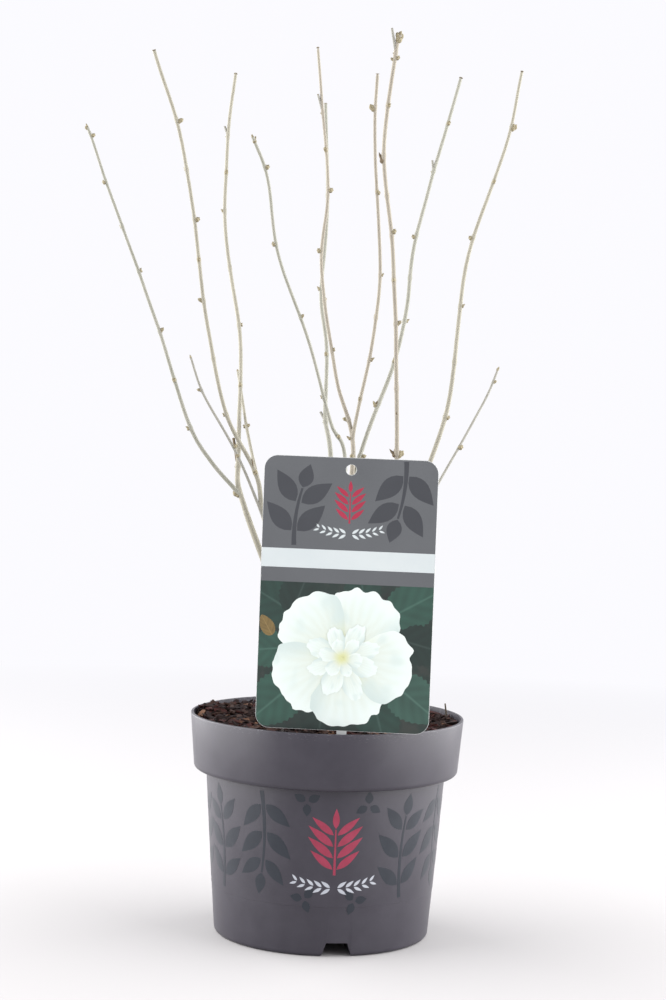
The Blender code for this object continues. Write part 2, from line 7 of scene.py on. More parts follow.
import logging
import math
import random
from collections.abc import Callable, Iterator, Sequence
from contextlib import contextmanager
from dataclasses import dataclass
from enum import Enum

import bpy
from mathutils import Euler, Matrix, Vector, noise


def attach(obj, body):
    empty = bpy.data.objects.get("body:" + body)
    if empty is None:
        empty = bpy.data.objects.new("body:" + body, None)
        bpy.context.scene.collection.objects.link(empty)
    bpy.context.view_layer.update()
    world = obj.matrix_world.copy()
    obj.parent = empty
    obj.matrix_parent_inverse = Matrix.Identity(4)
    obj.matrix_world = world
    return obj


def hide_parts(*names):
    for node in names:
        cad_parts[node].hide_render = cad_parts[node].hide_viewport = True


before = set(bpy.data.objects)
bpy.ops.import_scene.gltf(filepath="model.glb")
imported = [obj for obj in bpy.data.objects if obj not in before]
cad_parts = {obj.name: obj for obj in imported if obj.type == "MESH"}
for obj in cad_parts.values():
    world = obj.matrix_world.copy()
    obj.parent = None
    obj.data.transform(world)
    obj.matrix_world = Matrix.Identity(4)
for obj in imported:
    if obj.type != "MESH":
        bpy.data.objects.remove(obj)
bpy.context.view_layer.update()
log = logging.getLogger("potted shrub")

MM = 0.001
GAP = 0.3 * MM
SEED = 19
WELD = 0.002 * MM
RIGHT = Vector((1.0, 0.0, 0.0))
BACK = Vector((0.0, 1.0, 0.0))
UP = Vector((0.0, 0.0, 1.0))

# A face counts as level when its normal rises over LEVEL, and an edge as sharp when it bends by
# more than SHARP. A profile's quarter rounds have ROUND_STEPS steps.
LEVEL = 0.9
SHARP = math.radians(50.0)
ROUND_STEPS = 6

Item = bpy.types.Object
Colour = tuple[float, float, float]
Span = tuple[float, float]
Profile = list[Span]
Outline = list[Vector]
Joint = tuple[float, Vector]
Shape = Callable[[float, float], Span]
Paint = Callable[[float, float], Colour]


def tone(red: float, green: float, blue: float) -> Colour:
    """A linear colour from its display values, 0 to 255."""
    shares = [value / 255.0 for value in (red, green, blue)]
    return tuple(s / 12.92 if s <= 0.04045 else ((s + 0.055) / 1.055) ** 2.4 for s in shares)


def shades(*values: Sequence[float]) -> tuple[Colour, ...]:
    """Several linear colours from their display values."""
    return tuple(tone(*value) for value in values)


def smooth_step(low: float, high: float, value: float) -> float:
    """0 below low, 1 above high, and an even curve between."""
    part = min(1.0, max(0.0, (value - low) / (high - low)))
    return part * part * (3.0 - 2.0 * part)


def blend(start: Sequence[float], end: Sequence[float], part: float) -> Colour:
    """The colour a part of the way from start to end."""
    return tuple(a + (b - a) * part for a, b in zip(start, end))


def heading(angle: float) -> Vector:
    """The unit vector of a flat drawing at an angle in radians."""
    return Vector((math.cos(angle), math.sin(angle)))


def leftward(way: Vector) -> Vector:
    """A vector of a flat drawing, turned left by a right angle."""
    return Vector((-way.y, way.x))


def turn_by(*angles: float) -> Matrix:
    """The turn about X, Y and Z by three angles in radians."""
    return Euler(angles).to_matrix().to_4x4()


def aimed(way: Vector) -> Matrix:
    """The turn that points what stands upright along a way."""
    return UP.rotation_difference(way).to_matrix().to_4x4()


def posed(foot: Vector, axes: tuple[Vector, Vector, Vector], size: float) -> Matrix:
    """The place of a thing by its foot, its three axes and its size."""
    return Matrix.Translation(foot) @ Matrix(axes).transposed().to_4x4() @ Matrix.Scale(size, 4)


# Modelling tools


def select_only(*items: Item) -> None:
    """Select these objects and no others, the first of them active."""
    bpy.ops.object.select_all(action="DESELECT")
    for item in items:
        item.select_set(True)
    bpy.context.view_layer.objects.active = items[0]


def settle(item: Item) -> Item:
    """Put an object's place, turn and size into its mesh."""
    select_only(item)
    bpy.ops.object.transform_apply(location=True, rotation=True, scale=True)
    return item


def modify(item: Item, kind: str, **settings: object) -> Item:
    """Add a modifier with its settings and apply it."""
    modifier = item.modifiers.new(kind.title(), kind)
    for name, value in settings.items():
        setattr(modifier, name, value)
    select_only(item)
    bpy.ops.object.modifier_apply(modifier=modifier.name)
    return item


def joined(name: str, items: Sequence[Item]) -> Item:
    """One object from several, under a new name."""
    select_only(*items)
    if len(items) > 1:
        bpy.ops.object.join()
    items[0].name = name
    return items[0]


def linked(name: str, data: bpy.types.ID) -> Item:
    """A new object in the scene, from its data."""
    item = bpy.data.objects.new(name, data)
    bpy.context.scene.collection.objects.link(item)
    return item


def copied(item: Item, place: Matrix) -> Item:
    """A copy with its own mesh, moved to a place."""
    twin = linked(item.name, item.data.copy())
    twin.data.transform(place)
    return twin


def basic(kind: str, **settings: object) -> Item:
    """One of Blender's basic meshes by its kind, such as a cube, with its settings."""
    getattr(bpy.ops.mesh, f"primitive_{kind}_add")(**settings)
    return bpy.context.object


def carve(item: Item, other: Item, operation: str = "DIFFERENCE", solver: str = "EXACT") -> Item:
    """Cut, join or trim an object by another, which is then removed."""
    modify(item, "BOOLEAN", object=other, operation=operation, solver=solver)
    bpy.data.objects.remove(other)
    return item


@contextmanager
def editing(item: Item, whole: bool = True) -> Iterator[None]:
    """Edit mode on an object while the block runs, at first with its whole mesh selected if asked."""
    select_only(item)
    bpy.ops.object.mode_set(mode="EDIT")
    if whole:
        bpy.ops.mesh.select_all(action="SELECT")
    yield
    bpy.ops.object.mode_set(mode="OBJECT")


@contextmanager
def top_faces(item: Item) -> Iterator[None]:
    """Edit mode on an object while the block runs, with only its level top faces selected."""
    with editing(item):
        bpy.ops.mesh.select_mode(type="FACE")
        bpy.ops.mesh.select_all(action="DESELECT")
    for face in item.data.polygons:
        face.select = face.normal.z > LEVEL
    with editing(item, False):
        yield
        bpy.ops.mesh.select_mode(type="VERT")


def close_up(item: Item) -> Item:
    """Merge an object's doubles and turn its faces outwards."""
    with editing(item):
        bpy.ops.mesh.remove_doubles(threshold=WELD)
        bpy.ops.mesh.normals_make_consistent(inside=False)
    return item


def shade(item: Item, degrees: float = 180.0) -> Item:
    """Shade an object smooth but for edges sharper than an angle."""
    select_only(item)
    bpy.ops.object.shade_smooth_by_angle(angle=math.radians(degrees))
    return item


def turned(name: str, profile: Profile, sides: int) -> Item:
    """A solid from a profile that is drawn from one vertex and spun round Z.

    Args:
        name: The object's name.
        profile: (radius, height) points, from the axis down the outer side and back to it.
        sides: Steps of the full turn.

    Returns:
        The closed solid, with its place in its mesh.
    """
    radius, height = profile[0]
    item = basic("plane", size=MM, location=(radius, 0.0, height))
    item.name = name
    with editing(item):
        bpy.ops.mesh.merge(type="CENTER")
        for start, end in zip(profile, profile[1:]):
            step = (end[0] - start[0], 0.0, end[1] - start[1])
            bpy.ops.mesh.extrude_region_move(TRANSFORM_OT_translate={"value": step})
        bpy.ops.mesh.select_all(action="SELECT")
        bpy.ops.mesh.spin(steps=sides, angle=math.tau, center=(0, 0, 0), axis=UP)
    return close_up(settle(item))


def push_out(item: Item, amount: Callable[[Vector], float]) -> None:
    """Move each vertex along its normal by an amount that depends on its place."""
    normals = [vertex.normal.copy() for vertex in item.data.vertices]
    for vertex, normal in zip(item.data.vertices, normals):
        vertex.co += normal * amount(vertex.co)


def quarter(centre: Span, radius: float, start: float) -> Profile:
    """Points of a quarter round in a profile, clockwise from a start angle in degrees."""
    angles = [math.radians(start - 90.0 * i / ROUND_STEPS) for i in range(ROUND_STEPS + 1)]
    return [(centre[0] + radius * math.cos(a), centre[1] + radius * math.sin(a)) for a in angles]


def bisect(item: Item, place: Vector, normal: Vector, clear: bool = False, fill: bool = False) -> None:
    """Cut a mesh along a plane, drop what lies on the normal's side and close the cut if asked."""
    with editing(item):
        bpy.ops.mesh.bisect(plane_co=place, plane_no=normal, clear_outer=clear, use_fill=fill)


def flat_shape(name: str, outlines: Sequence[Outline]) -> Item:
    """A flat filled mesh in the XY plane from closed outlines that don't cross."""
    curve = bpy.data.curves.new(name, "CURVE")
    curve.dimensions = "2D"
    curve.fill_mode = "BOTH"
    for outline in outlines:
        spline = curve.splines.new("POLY")
        spline.points.add(len(outline) - 1)
        for point, place in zip(spline.points, outline):
            point.co = (place.x, place.y, 0.0, 1.0)
        spline.use_cyclic_u = True
    return as_mesh(linked(name, curve))


def as_mesh(item: Item) -> Item:
    """A curve's object turned into a clean mesh."""
    select_only(item)
    bpy.ops.object.convert(target="MESH")
    return close_up(bpy.context.object)


def eased(item: Item, width: float) -> Item:
    """An object with its sharp edges rounded off."""
    return modify(item, "BEVEL", width=width, segments=2, limit_method="ANGLE", angle_limit=SHARP)


def dress(item: Item, finishes: Sequence["Finish"]) -> Item:
    """Give an object exactly these finishes as its slots, whatever its faces use by now."""
    slots = item.data.materials
    while len(slots) > len(finishes):
        slots.pop()
    while len(slots) < len(finishes):
        slots.append(None)
    for i, finish in enumerate(finishes):
        slots[i] = finish.material()
    return item


def hand_in(item: Item, finishes: Sequence["Finish"], slot: str, *stands_for: str) -> Item:
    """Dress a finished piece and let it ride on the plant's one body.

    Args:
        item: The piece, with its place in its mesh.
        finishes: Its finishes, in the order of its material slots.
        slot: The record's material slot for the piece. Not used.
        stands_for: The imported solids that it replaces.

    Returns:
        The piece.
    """
    dress(item, finishes)
    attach(item, "root")
    if stands_for:
        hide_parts(*stands_for)
    log.info("%s: %d faces", item.name, len(item.data.polygons))
    return item


# Finishes


class NodeBoard:
    """A new material's nodes, with short ways to add and link them."""

    def __init__(self, name: str) -> None:
        """Start a material with a Principled shader."""
        self.material = bpy.data.materials.new(name)
        self.material.use_nodes = True
        self.tree = self.material.node_tree
        self.shader = self.tree.nodes["Principled BSDF"]

    def add(self, kind: str, **inputs: object) -> bpy.types.Node:
        """A node of a kind, with values for its inputs by name."""
        node = self.tree.nodes.new(kind)
        for name, value in inputs.items():
            node.inputs[name].default_value = value
        return node

    def link(self, source: object, target: object) -> None:
        """Link an output to an input."""
        self.tree.links.new(source, target)

    def places(self, stretch: tuple[float, float, float]) -> object:
        """Object coordinates in millimetres, shorter by the stretch along each axis."""
        source = self.add("ShaderNodeTexCoord")
        scale = [1.0 / (MM * s) for s in stretch]
        mapping = self.add("ShaderNodeMapping", Scale=scale)
        self.link(source.outputs["Object"], mapping.inputs["Vector"])
        return mapping.outputs["Vector"]

    def noise(self, places: object, size: float, detail: float = 3.0, rough: float = 0.6) -> object:
        """A noise of a size in millimetres, 0 to 1."""
        node = self.add("ShaderNodeTexNoise", Scale=1.0 / size, Detail=detail, Roughness=rough)
        self.link(places, node.inputs["Vector"])
        return node.outputs["Fac"]

    def ramp(self, factor: object, stops: Sequence[tuple[float, Sequence[float]]]) -> object:
        """Colours from a factor, by (place, colour) stops."""
        node = self.add("ShaderNodeValToRGB")
        band = node.color_ramp.elements
        while len(band) < len(stops):
            band.new(0.5)
        for element, (place, colour) in zip(band, stops):
            element.position = place
            element.color = (*colour, 1.0)
        self.link(factor, node.inputs["Fac"])
        return node.outputs["Color"]

    def mix(self, factor: object, start: object, end: object) -> object:
        """Two colour outputs mixed by a factor."""
        node = self.tree.nodes.new("ShaderNodeMix")
        node.data_type = "RGBA"
        self.link(factor, node.inputs["Factor"])
        for source, name in ((start, "A"), (end, "B")):
            target = next(s for s in node.inputs if s.name == name and s.type == "RGBA")
            if isinstance(source, tuple):
                target.default_value = (*source, 1.0)
            else:
                self.link(source, target)
        return next(s for s in node.outputs if s.type == "RGBA")

    def map_range(
        self, value: object, low: float, high: float, to_low: float = 0.0, to_high: float = 1.0
    ) -> object:
        """A value moved from one range to another, clamped.

        Args:
            value: The output that gives the value.
            low: The value that becomes to_low.
            high: The value that becomes to_high.
            to_low: The new range's start.
            to_high: The new range's end.

        Returns:
            The output of the new value.
        """
        node = self.tree.nodes.new("ShaderNodeMapRange")
        ends = {"From Min": low, "From Max": high, "To Min": to_low, "To Max": to_high}
        for name, number in ends.items():
            node.inputs[name].default_value = number
        self.link(value, node.inputs["Value"])
        return node.outputs["Result"]

    def bump(self, height: object, depth: float, strength: float = 1.0) -> None:
        """Drive the shader's normal by a height, whose full range is a depth in millimetres."""
        last = self.shader.inputs["Normal"].links
        node = self.add("ShaderNodeBump", Distance=depth * MM, Strength=strength)
        self.link(height, node.inputs["Height"])
        if last:
            self.link(last[0].from_socket, node.inputs["Normal"])
        self.link(node.outputs["Normal"], self.shader.inputs["Normal"])


@dataclass(frozen=True)
class Finish:
    """A mottled surface. Sizes are in millimetres, and one material is made of each finish."""

    name: str
    tones: tuple[Colour, ...]
    size: float = 4.0
    stretch: tuple[float, float, float] = (1.0, 1.0, 1.0)
    rough: Span = (0.6, 0.7)
    grain: float = 0.4
    depth: float = 0.05
    coat: float = 0.0
    shine: float = 0.5
    mottle: Span = (0.32, 0.68)
    gloss: Span = (0.3, 0.7)

    def material(self) -> bpy.types.Material:
        """The finish's material, made once."""
        return bpy.data.materials.get(self.name) or self.make()

    def make(self) -> bpy.types.Material:
        """Make the material: mottled tones, uneven gloss and a fine grain."""
        board = NodeBoard(self.name)
        board.shader.inputs["Coat Weight"].default_value = self.coat
        board.shader.inputs["Specular IOR Level"].default_value = self.shine
        places = board.places(self.stretch)
        first, last = self.mottle
        steps = max(1, len(self.tones) - 1)
        stops = [(first + (last - first) * i / steps, shade) for i, shade in enumerate(self.tones)]
        colour = board.ramp(board.noise(places, self.size), stops)
        board.link(self.overlay(board, places, colour), board.shader.inputs["Base Color"])
        patches = board.noise(places, 2.0 * self.size)
        rough = board.map_range(patches, *self.gloss, *self.rough)
        board.link(rough, board.shader.inputs["Roughness"])
        board.bump(board.noise(places, self.grain, 4.0), self.depth)
        return board.material

    def overlay(self, board: NodeBoard, places: object, colour: object) -> object:
        """What lies over the mottled colour. A plain finish has nothing."""
        return colour


@dataclass(frozen=True)
class BarkFinish(Finish):
    """Bark with lengthwise streaks and small raised pores."""

    streak: Colour = (0.2, 0.18, 0.12)
    streak_size: float = 0.55
    streak_share: float = 0.45
    pore: Colour = (0.5, 0.45, 0.35)
    pore_size: float = 1.5
    pore_share: float = 0.4
    pore_relief: float = 0.007
    streak_relief: float = 0.008
    marks: float = 1.0

    def overlay(self, board: NodeBoard, places: object, colour: object) -> object:
        """Darker streaks along the shoot, then pale pores that stand out a little."""
        streaks = board.noise(places, self.streak_size, 3.0, 0.7)
        share = board.map_range(streaks, 0.50, 0.78, 0.0, self.streak_share * self.marks)
        colour = board.mix(share, colour, self.streak)
        cells = board.add("ShaderNodeTexVoronoi", Scale=1.0 / self.pore_size)
        board.link(board.places((1.0, 1.0, 1.3)), cells.inputs["Vector"])
        pores = board.map_range(cells.outputs["Distance"], 0.10, 0.17, 1.0, 0.0)
        board.bump(pores, self.pore_relief)
        board.bump(streaks, self.streak_relief)
        share = board.map_range(pores, 0.0, 1.0, 0.0, self.pore_share * self.marks)
        return board.mix(share, colour, self.pore)


@dataclass(frozen=True)
class MouldedFinish(Finish):
    """Moulded plastic with pale marks towards its top edge: dust and fine scuffs, and partly a painted
    reflection.
    """

    # The pale colour of the marks near the rim: scuffs and dust, and partly a painted reflection.
    scuff_and_sheen: Colour = (0.3, 0.3, 0.32)
    scuff_and_sheen_size: float = 0.7
    edge: float = 0.152
    fade: float = 6 * MM

    def overlay(self, board: NodeBoard, places: object, colour: object) -> object:
        """Short pale marks, thick at the rim and thin below it: scuffs, and partly a painted
        reflection of the lights.
        """
        source = board.add("ShaderNodeTexCoord")
        split = board.add("ShaderNodeSeparateXYZ")
        board.link(source.outputs["Object"], split.inputs["Vector"])
        near = board.map_range(split.outputs["Z"], self.edge - self.fade, self.edge)
        # The pale marks are partly scuffs and partly a painted reflection along the collar's top.
        marks = board.noise(board.places((3.0, 3.0, 0.5)), self.scuff_and_sheen_size, 4.0, 0.7)
        total = board.add("ShaderNodeMath")
        total.operation = "MULTIPLY"
        board.link(near, total.inputs[0])
        board.link(board.map_range(marks, 0.60, 0.72, 0.0, 0.8), total.inputs[1])
        return board.mix(total.outputs["Value"], colour, self.scuff_and_sheen)


@dataclass(frozen=True)
class PrintedFinish(Finish):
    """A printed picture: the colours are worked out point by point and kept in the mesh."""

    ink: str = "ink"

    def overlay(self, board: NodeBoard, places: object, colour: object) -> object:
        """The mesh's own ink colours in place of the mottled ones."""
        source = board.tree.nodes.new("ShaderNodeAttribute")
        source.attribute_name = self.ink
        return source.outputs["Color"]


PLASTIC = MouldedFinish(
    "Taupe moulded plastic",
    shades((43, 40, 49), (48, 45, 54)),
    size=14.0,
    rough=(0.36, 0.46),
    grain=0.8,
    depth=0.012,
)


def ink(name: str, size: float, *values: Colour, gloss: float = 0.34, coat: float = 0.0) -> Finish:
    """A printed ink from its display values, mottled at a size, with the card's coat if given."""
    return Finish(name, shades(*values), size, rough=(gloss, gloss + 0.08), depth=0.006, coat=coat)


# The weight of the clear coat on the card's print.
FILM = 0.15
GREY_PRINT = ink("Slate print", 9.0, (20, 26, 36), (24, 30, 40), gloss=0.32)
CRIMSON_PRINT = ink("Crimson print", 6.0, (128, 34, 58), (138, 40, 66))
SILVER_PRINT = ink("Silver print", 6.0, (158, 162, 170), (168, 171, 178))
CARD_GREY = ink("Card grey ink", 60.0, (77, 79, 82), (82, 84, 87), coat=FILM)
CARD_SLATE = ink("Card slate ink", 40.0, (47, 49, 54), (51, 53, 58), coat=FILM)
CARD_WHITE = ink("Card white band", 40.0, (180, 187, 188), (185, 191, 191), coat=FILM)
CARD_CRIMSON = ink("Card crimson ink", 10.0, (142, 20, 50), (152, 27, 58), coat=FILM)
GROUND_TONES = ((12, 18, 18), (23, 33, 30), (19, 36, 31), (36, 42, 38))
CARD_DARK = ink("Card picture ground", 16.0, *GROUND_TONES, coat=FILM)
PICTURE_TONES = shades((200, 200, 200))
PICTURE_LOOK = {"rough": (0.34, 0.42), "depth": 0.006, "coat": FILM}
CARD_PICTURE = PrintedFinish("Card picture ink", PICTURE_TONES, **PICTURE_LOOK)
STOCK_TONES = shades((170, 172, 172), (178, 179, 178))
CARD_STOCK = Finish("Card stock", STOCK_TONES, 20.0, rough=(0.42, 0.5), depth=0.01)


def raw(
    name: str, size: float, rough: Span, grain: float, depth: float, shine: float, *values: Colour
) -> Finish:
    """A raw natural surface, with its tones given by their display values."""
    return Finish(name, shades(*values), size, rough=rough, grain=grain, depth=depth, shine=shine)


SOIL = raw("Damp peat", 2.2, (0.85, 0.95), 0.5, 0.5, 0.15, (15, 9, 7), (28, 17, 13), (40, 26, 20))
CUT_FINISH = raw("Cut wood", 0.7, (0.7, 0.85), 0.2, 0.08, 0.5, (92, 80, 66), (124, 113, 94))
DEAD_FINISH = raw("Dead twig", 1.0, (0.8, 0.92), 0.3, 0.12, 0.25, (50, 44, 38), (84, 74, 62))
SCAR_FINISH = raw("Bud scar", 0.8, (0.8, 0.9), 0.25, 0.12, 0.25, (80, 70, 57), (116, 103, 84))
BUD_TONES = ((98, 89, 70), (130, 121, 98), (146, 139, 114))
BUD_FINISH = raw("Winter bud", 0.9, (0.7, 0.85), 0.25, 0.15, 0.3, *BUD_TONES)


def chip_bark(name: str, *values: Colour) -> Finish:
    """The bark of the soil's chips, from its dark and pale display values."""
    return Finish(name, shades(*values), 1.6, (2.0, 2.0, 1.0), (0.7, 0.9), 0.3, 0.18, shine=0.15)


class Chip(Enum):
    """The colours that the bark chips of the soil are dealt."""

    DARK = chip_bark("Dark chip", (17, 9, 9), (34, 19, 17))
    RED = chip_bark("Red chip", (40, 17, 16), (60, 29, 26))
    BROWN = chip_bark("Brown chip", (38, 24, 20), (58, 39, 32))
    TAN = chip_bark("Tan chip", (76, 52, 40), (102, 74, 56))


OLD_BARK = BarkFinish(
    "Old bark",
    shades((96, 88, 74), (120, 111, 94), (134, 126, 108)),
    size=3.0,
    stretch=(1.0, 1.0, 4.0),
    rough=(0.75, 0.9),
    grain=0.5,
    depth=0.25,
    shine=0.3,
    streak=tone(68, 60, 49),
    pore=tone(138, 127, 108),
)


def young_bark(name: str, *values: Colour) -> BarkFinish:
    """The smooth bark of a young shoot, from the display values of three tones and its streaks."""
    *tones, streak = shades(*values)
    pore = blend(tones[-1], (1.0, 0.96, 0.88), 0.12)
    looks = {"shine": 0.35, "streak": streak, "pore": pore, "marks": 0.18}
    return BarkFinish(name, tuple(tones), 5.0, (1.0, 1.0, 9.0), (0.62, 0.78), 0.35, 0.005, **looks)


class Tint(Enum):
    """The bark tints that are dealt out by shoot."""

    CREAM = young_bark("Cream bark", (135, 131, 118), (142, 138, 124), (146, 142, 128), (106, 101, 90))
    GREEN = young_bark("Green bark", (131, 130, 119), (138, 137, 126), (142, 140, 130), (99, 98, 88))
    TAN = young_bark("Tan bark", (134, 127, 115), (141, 134, 121), (145, 139, 125), (103, 95, 85))
    GREY = young_bark("Grey bark", (128, 126, 118), (134, 132, 124), (138, 136, 128), (96, 94, 88))


BARKS = [tint.value for tint in Tint]


# Pot


@dataclass
class Pot:
    """The nursery pot: a turned wall with a deep collar and three drain channels underneath."""

    sides: int = 240
    height: float = 152.3 * MM
    rim_radius: float = 95.0 * MM
    lip_round: float = 0.7 * MM
    collar_height: float = 38.6 * MM
    collar_foot_radius: float = 92.0 * MM
    collar_round: float = 3.0 * MM
    body_top_radius: float = 83.1 * MM
    body_foot_radius: float = 74.8 * MM
    foot_round: float = 3.0 * MM
    wall: float = 1.8 * MM
    floor: float = 2.2 * MM
    crease: float = 0.5 * MM
    film_drop: float = 1.2 * MM
    film_low: float = 34.0 * MM
    film_proud: float = 0.12 * MM
    channels: int = 3
    first_channel: float = -81.4
    channel_foot: float = 22.0 * MM
    channel_roof: float = 14.4 * MM
    channel_height: float = 9.4 * MM
    channel_start: float = 26.0 * MM
    hole_radius: float = 3.5 * MM
    hole_place: float = 56.0 * MM
    easing: float = 0.25 * MM
    facet: float = 32.0

    @property
    def collar_foot(self) -> float:
        """Height of the collar's lower edge."""
        return self.height - self.collar_height

    @property
    def shelf(self) -> float:
        """Height of the inner ledge behind the collar's lower edge."""
        return self.collar_foot + self.wall

    def outer_radius(self, height: float) -> float:
        """Radius of the body's outside at a height below the collar."""
        part = height / self.collar_foot
        return self.body_foot_radius + part * (self.body_top_radius - self.body_foot_radius)

    def bore_radius(self, height: float) -> float:
        """Radius of the wall's inside at a height."""
        if height < self.shelf:
            return self.outer_radius(height) - self.wall
        part = (height - self.collar_foot) / self.collar_height
        return self.collar_foot_radius + part * (self.rim_radius - self.collar_foot_radius) - self.wall

    def outside(self) -> Profile:
        """The outer profile, from the middle of the mouth down to the middle of the underside."""
        lip = (self.rim_radius - self.lip_round, self.height - self.lip_round)
        collar = (self.collar_foot_radius - self.collar_round, self.collar_foot + self.collar_round)
        foot = (self.body_foot_radius - self.foot_round, self.foot_round)
        film_top = self.collar_foot - self.film_drop
        low = self.outer_radius(self.film_low)
        crease = self.crease
        return [
            (0.0, self.height),
            *quarter(lip, self.lip_round, 90.0),
            *quarter(collar, self.collar_round, 0.0),
            (self.body_top_radius + crease, self.collar_foot),
            (self.body_top_radius, self.collar_foot - crease),
            (self.outer_radius(film_top) + self.film_proud, film_top),
            (low + self.film_proud, self.film_low),
            (low, self.film_low - self.film_proud),
            *quarter(foot, self.foot_round, 0.0),
            (0.0, 0.0),
        ]

    def inside(self, top: float, inset: float) -> Profile:
        """The profile of the pot's inside up to a height, drawn in by the inset."""
        shelf = self.shelf + inset
        floor = self.floor + inset
        corner = self.collar_round - self.wall
        return [
            (self.bore_radius(top) - inset, top),
            (self.bore_radius(shelf + corner) - inset, shelf + corner),
            (self.bore_radius(shelf + corner) - inset - corner, shelf),
            (self.outer_radius(self.shelf) - self.wall - inset, shelf),
            (self.bore_radius(floor) - inset, floor),
            (0.0, floor),
        ]

    def channel(self, index: int, margin: float) -> Item:
        """The prism of a drain channel, larger all round by the margin."""
        low = -2 * MM
        top = self.channel_height + margin
        start = self.channel_start - margin
        size = Vector((self.rim_radius - start, self.channel_foot + 2 * margin, top - low))
        place = Vector((0.5 * (self.rim_radius + start), 0.0, 0.5 * (top + low)))
        block = settle(basic("cube", size=1.0, location=place, scale=size))
        narrow = (self.channel_roof + 2 * margin) / (self.channel_foot + 2 * margin)
        with top_faces(block):
            bpy.ops.transform.resize(value=(1.0, narrow, 1.0), center_override=place)
        block.data.transform(Matrix.Rotation(self.bearing(index), 4, "Z"))
        return block

    def bearing(self, index: int) -> float:
        """Bearing of a channel round the pot, in radians."""
        return math.radians(self.first_channel + index * 360.0 / self.channels)

    def drain_pin(self, index: int) -> Item:
        """The pin that cuts the hole in a channel's roof."""
        place = (*self.hole_place * heading(self.bearing(index)), self.channel_height)
        depth = 4 * self.wall
        pin = basic("cylinder", vertices=32, radius=self.hole_radius, depth=depth, location=place)
        return settle(pin)

    def build(self) -> Item:
        """Build and dress the pot."""
        top = self.height + 5 * MM
        pot = turned("pot_wall", self.outside(), self.sides)
        bore = turned("bore", [(0.0, top), *self.inside(top, 0.0)], self.sides)
        for i in range(self.channels):
            carve(bore, self.channel(i, self.wall))
        carve(pot, bore)
        for i in range(self.channels):
            carve(pot, self.channel(i, 0.0))
            carve(pot, self.drain_pin(i))
        shade(eased(pot, self.easing), self.facet)
        return hand_in(pot, [PLASTIC], "pot_plastic", "pot")


# Print


def almond(foot: Vector, angle: float, length: float, width: float) -> Outline:
    """The outline of a slim leaf, widest below its middle.

    Args:
        foot: Where the leaf starts.
        angle: The way it points, in radians.
        length: Its length.
        width: Its greatest width.

    Returns:
        The outline, anticlockwise from its foot.
    """
    along = heading(angle)
    across = leftward(along)
    parts = [i / 8 for i in range(9)]
    half = [(t, 0.5 * width * math.sin(math.pi * t**0.8)) for t in parts]
    left = [foot + along * length * t + across * w for t, w in half]
    right = [foot + along * length * t - across * w for t, w in reversed(half[1:-1])]
    return left + right


@dataclass(frozen=True)
class Spray:
    """A leafy spray of the print, in millimetres and degrees, from the foot of its stem.

    lean is the stem's angle at the foot, and curl how far it turns on the way to its tip. leaf is
    the length of its middle leaves, plump their width as a share of it, and thick its stem's width,
    of which taper is lost on the way up. parting and tip_gap keep the leaves off the stem.
    """

    x: float
    y: float
    length: float
    lean: float
    curl: float
    pairs: int = 3
    leaf: float = 24.0
    plump: float = 0.42
    thick: float = 3.0
    spread: float = 46.0
    taper: float = 0.6
    parting: float = 0.35
    tip_gap: float = 0.5

    def stem_places(self, steps: int = 24) -> list[tuple[Vector, float]]:
        """Places along the stem and its angle at each, in radians."""
        place = Vector((self.x, self.y)) * MM
        places = []
        for i in range(steps + 1):
            angle = math.radians(self.lean + self.curl * i / steps)
            places.append((place.copy(), angle))
            place = place + heading(angle) * self.length * MM / steps
        return places

    def stem(self, places: list[tuple[Vector, float]]) -> Outline:
        """The stem's outline, a strip that tapers to its tip."""
        sides: tuple[Outline, Outline] = ([], [])
        for i, (place, angle) in enumerate(places):
            half = 0.5 * self.thick * (1.0 - self.taper * i / len(places)) * MM
            across = leftward(heading(angle))
            sides[0].append(place + across * half)
            sides[1].append(place - across * half)
        return sides[0] + sides[1][::-1]

    def outlines(self) -> list[Outline]:
        """The stem, its pairs of leaves, and the one at its tip."""
        places = self.stem_places()
        shapes = [self.stem(places)]
        gap = (0.5 * self.thick + self.parting) * MM
        for i in range(self.pairs):
            part = (i + 0.55) / (self.pairs + 0.1)
            place, angle = places[round(part * (len(places) - 1))]
            size = self.leaf * MM * (0.62 + 0.38 * math.sin(math.pi * (0.15 + 0.75 * part)))
            for side in (1, -1):
                foot = place + leftward(heading(angle)) * side * gap
                tilt = side * math.radians(self.spread)
                shapes.append(almond(foot, angle + tilt, size, self.plump * size))
        tip, angle = places[-1]
        foot = tip + heading(angle) * self.tip_gap * MM
        leaf = self.leaf * MM
        shapes.append(almond(foot, angle, 0.62 * leaf, 0.8 * self.plump * leaf))
        return shapes


@dataclass(frozen=True)
class Seeds:
    """Three seeds of the print round a place, in millimetres."""

    x: float
    y: float
    size: float = 8.5
    turn: float = 90.0
    gap: float = 1.2

    def outlines(self) -> list[Outline]:
        """Three plump almonds that point away from the middle."""
        middle = Vector((self.x, self.y)) * MM
        shapes = []
        for i in range(3):
            angle = math.radians(self.turn + 120.0 * i)
            foot = middle + heading(angle) * self.gap * MM
            shapes.append(almond(foot, angle, self.size * MM, 0.66 * self.size * MM))
        return shapes


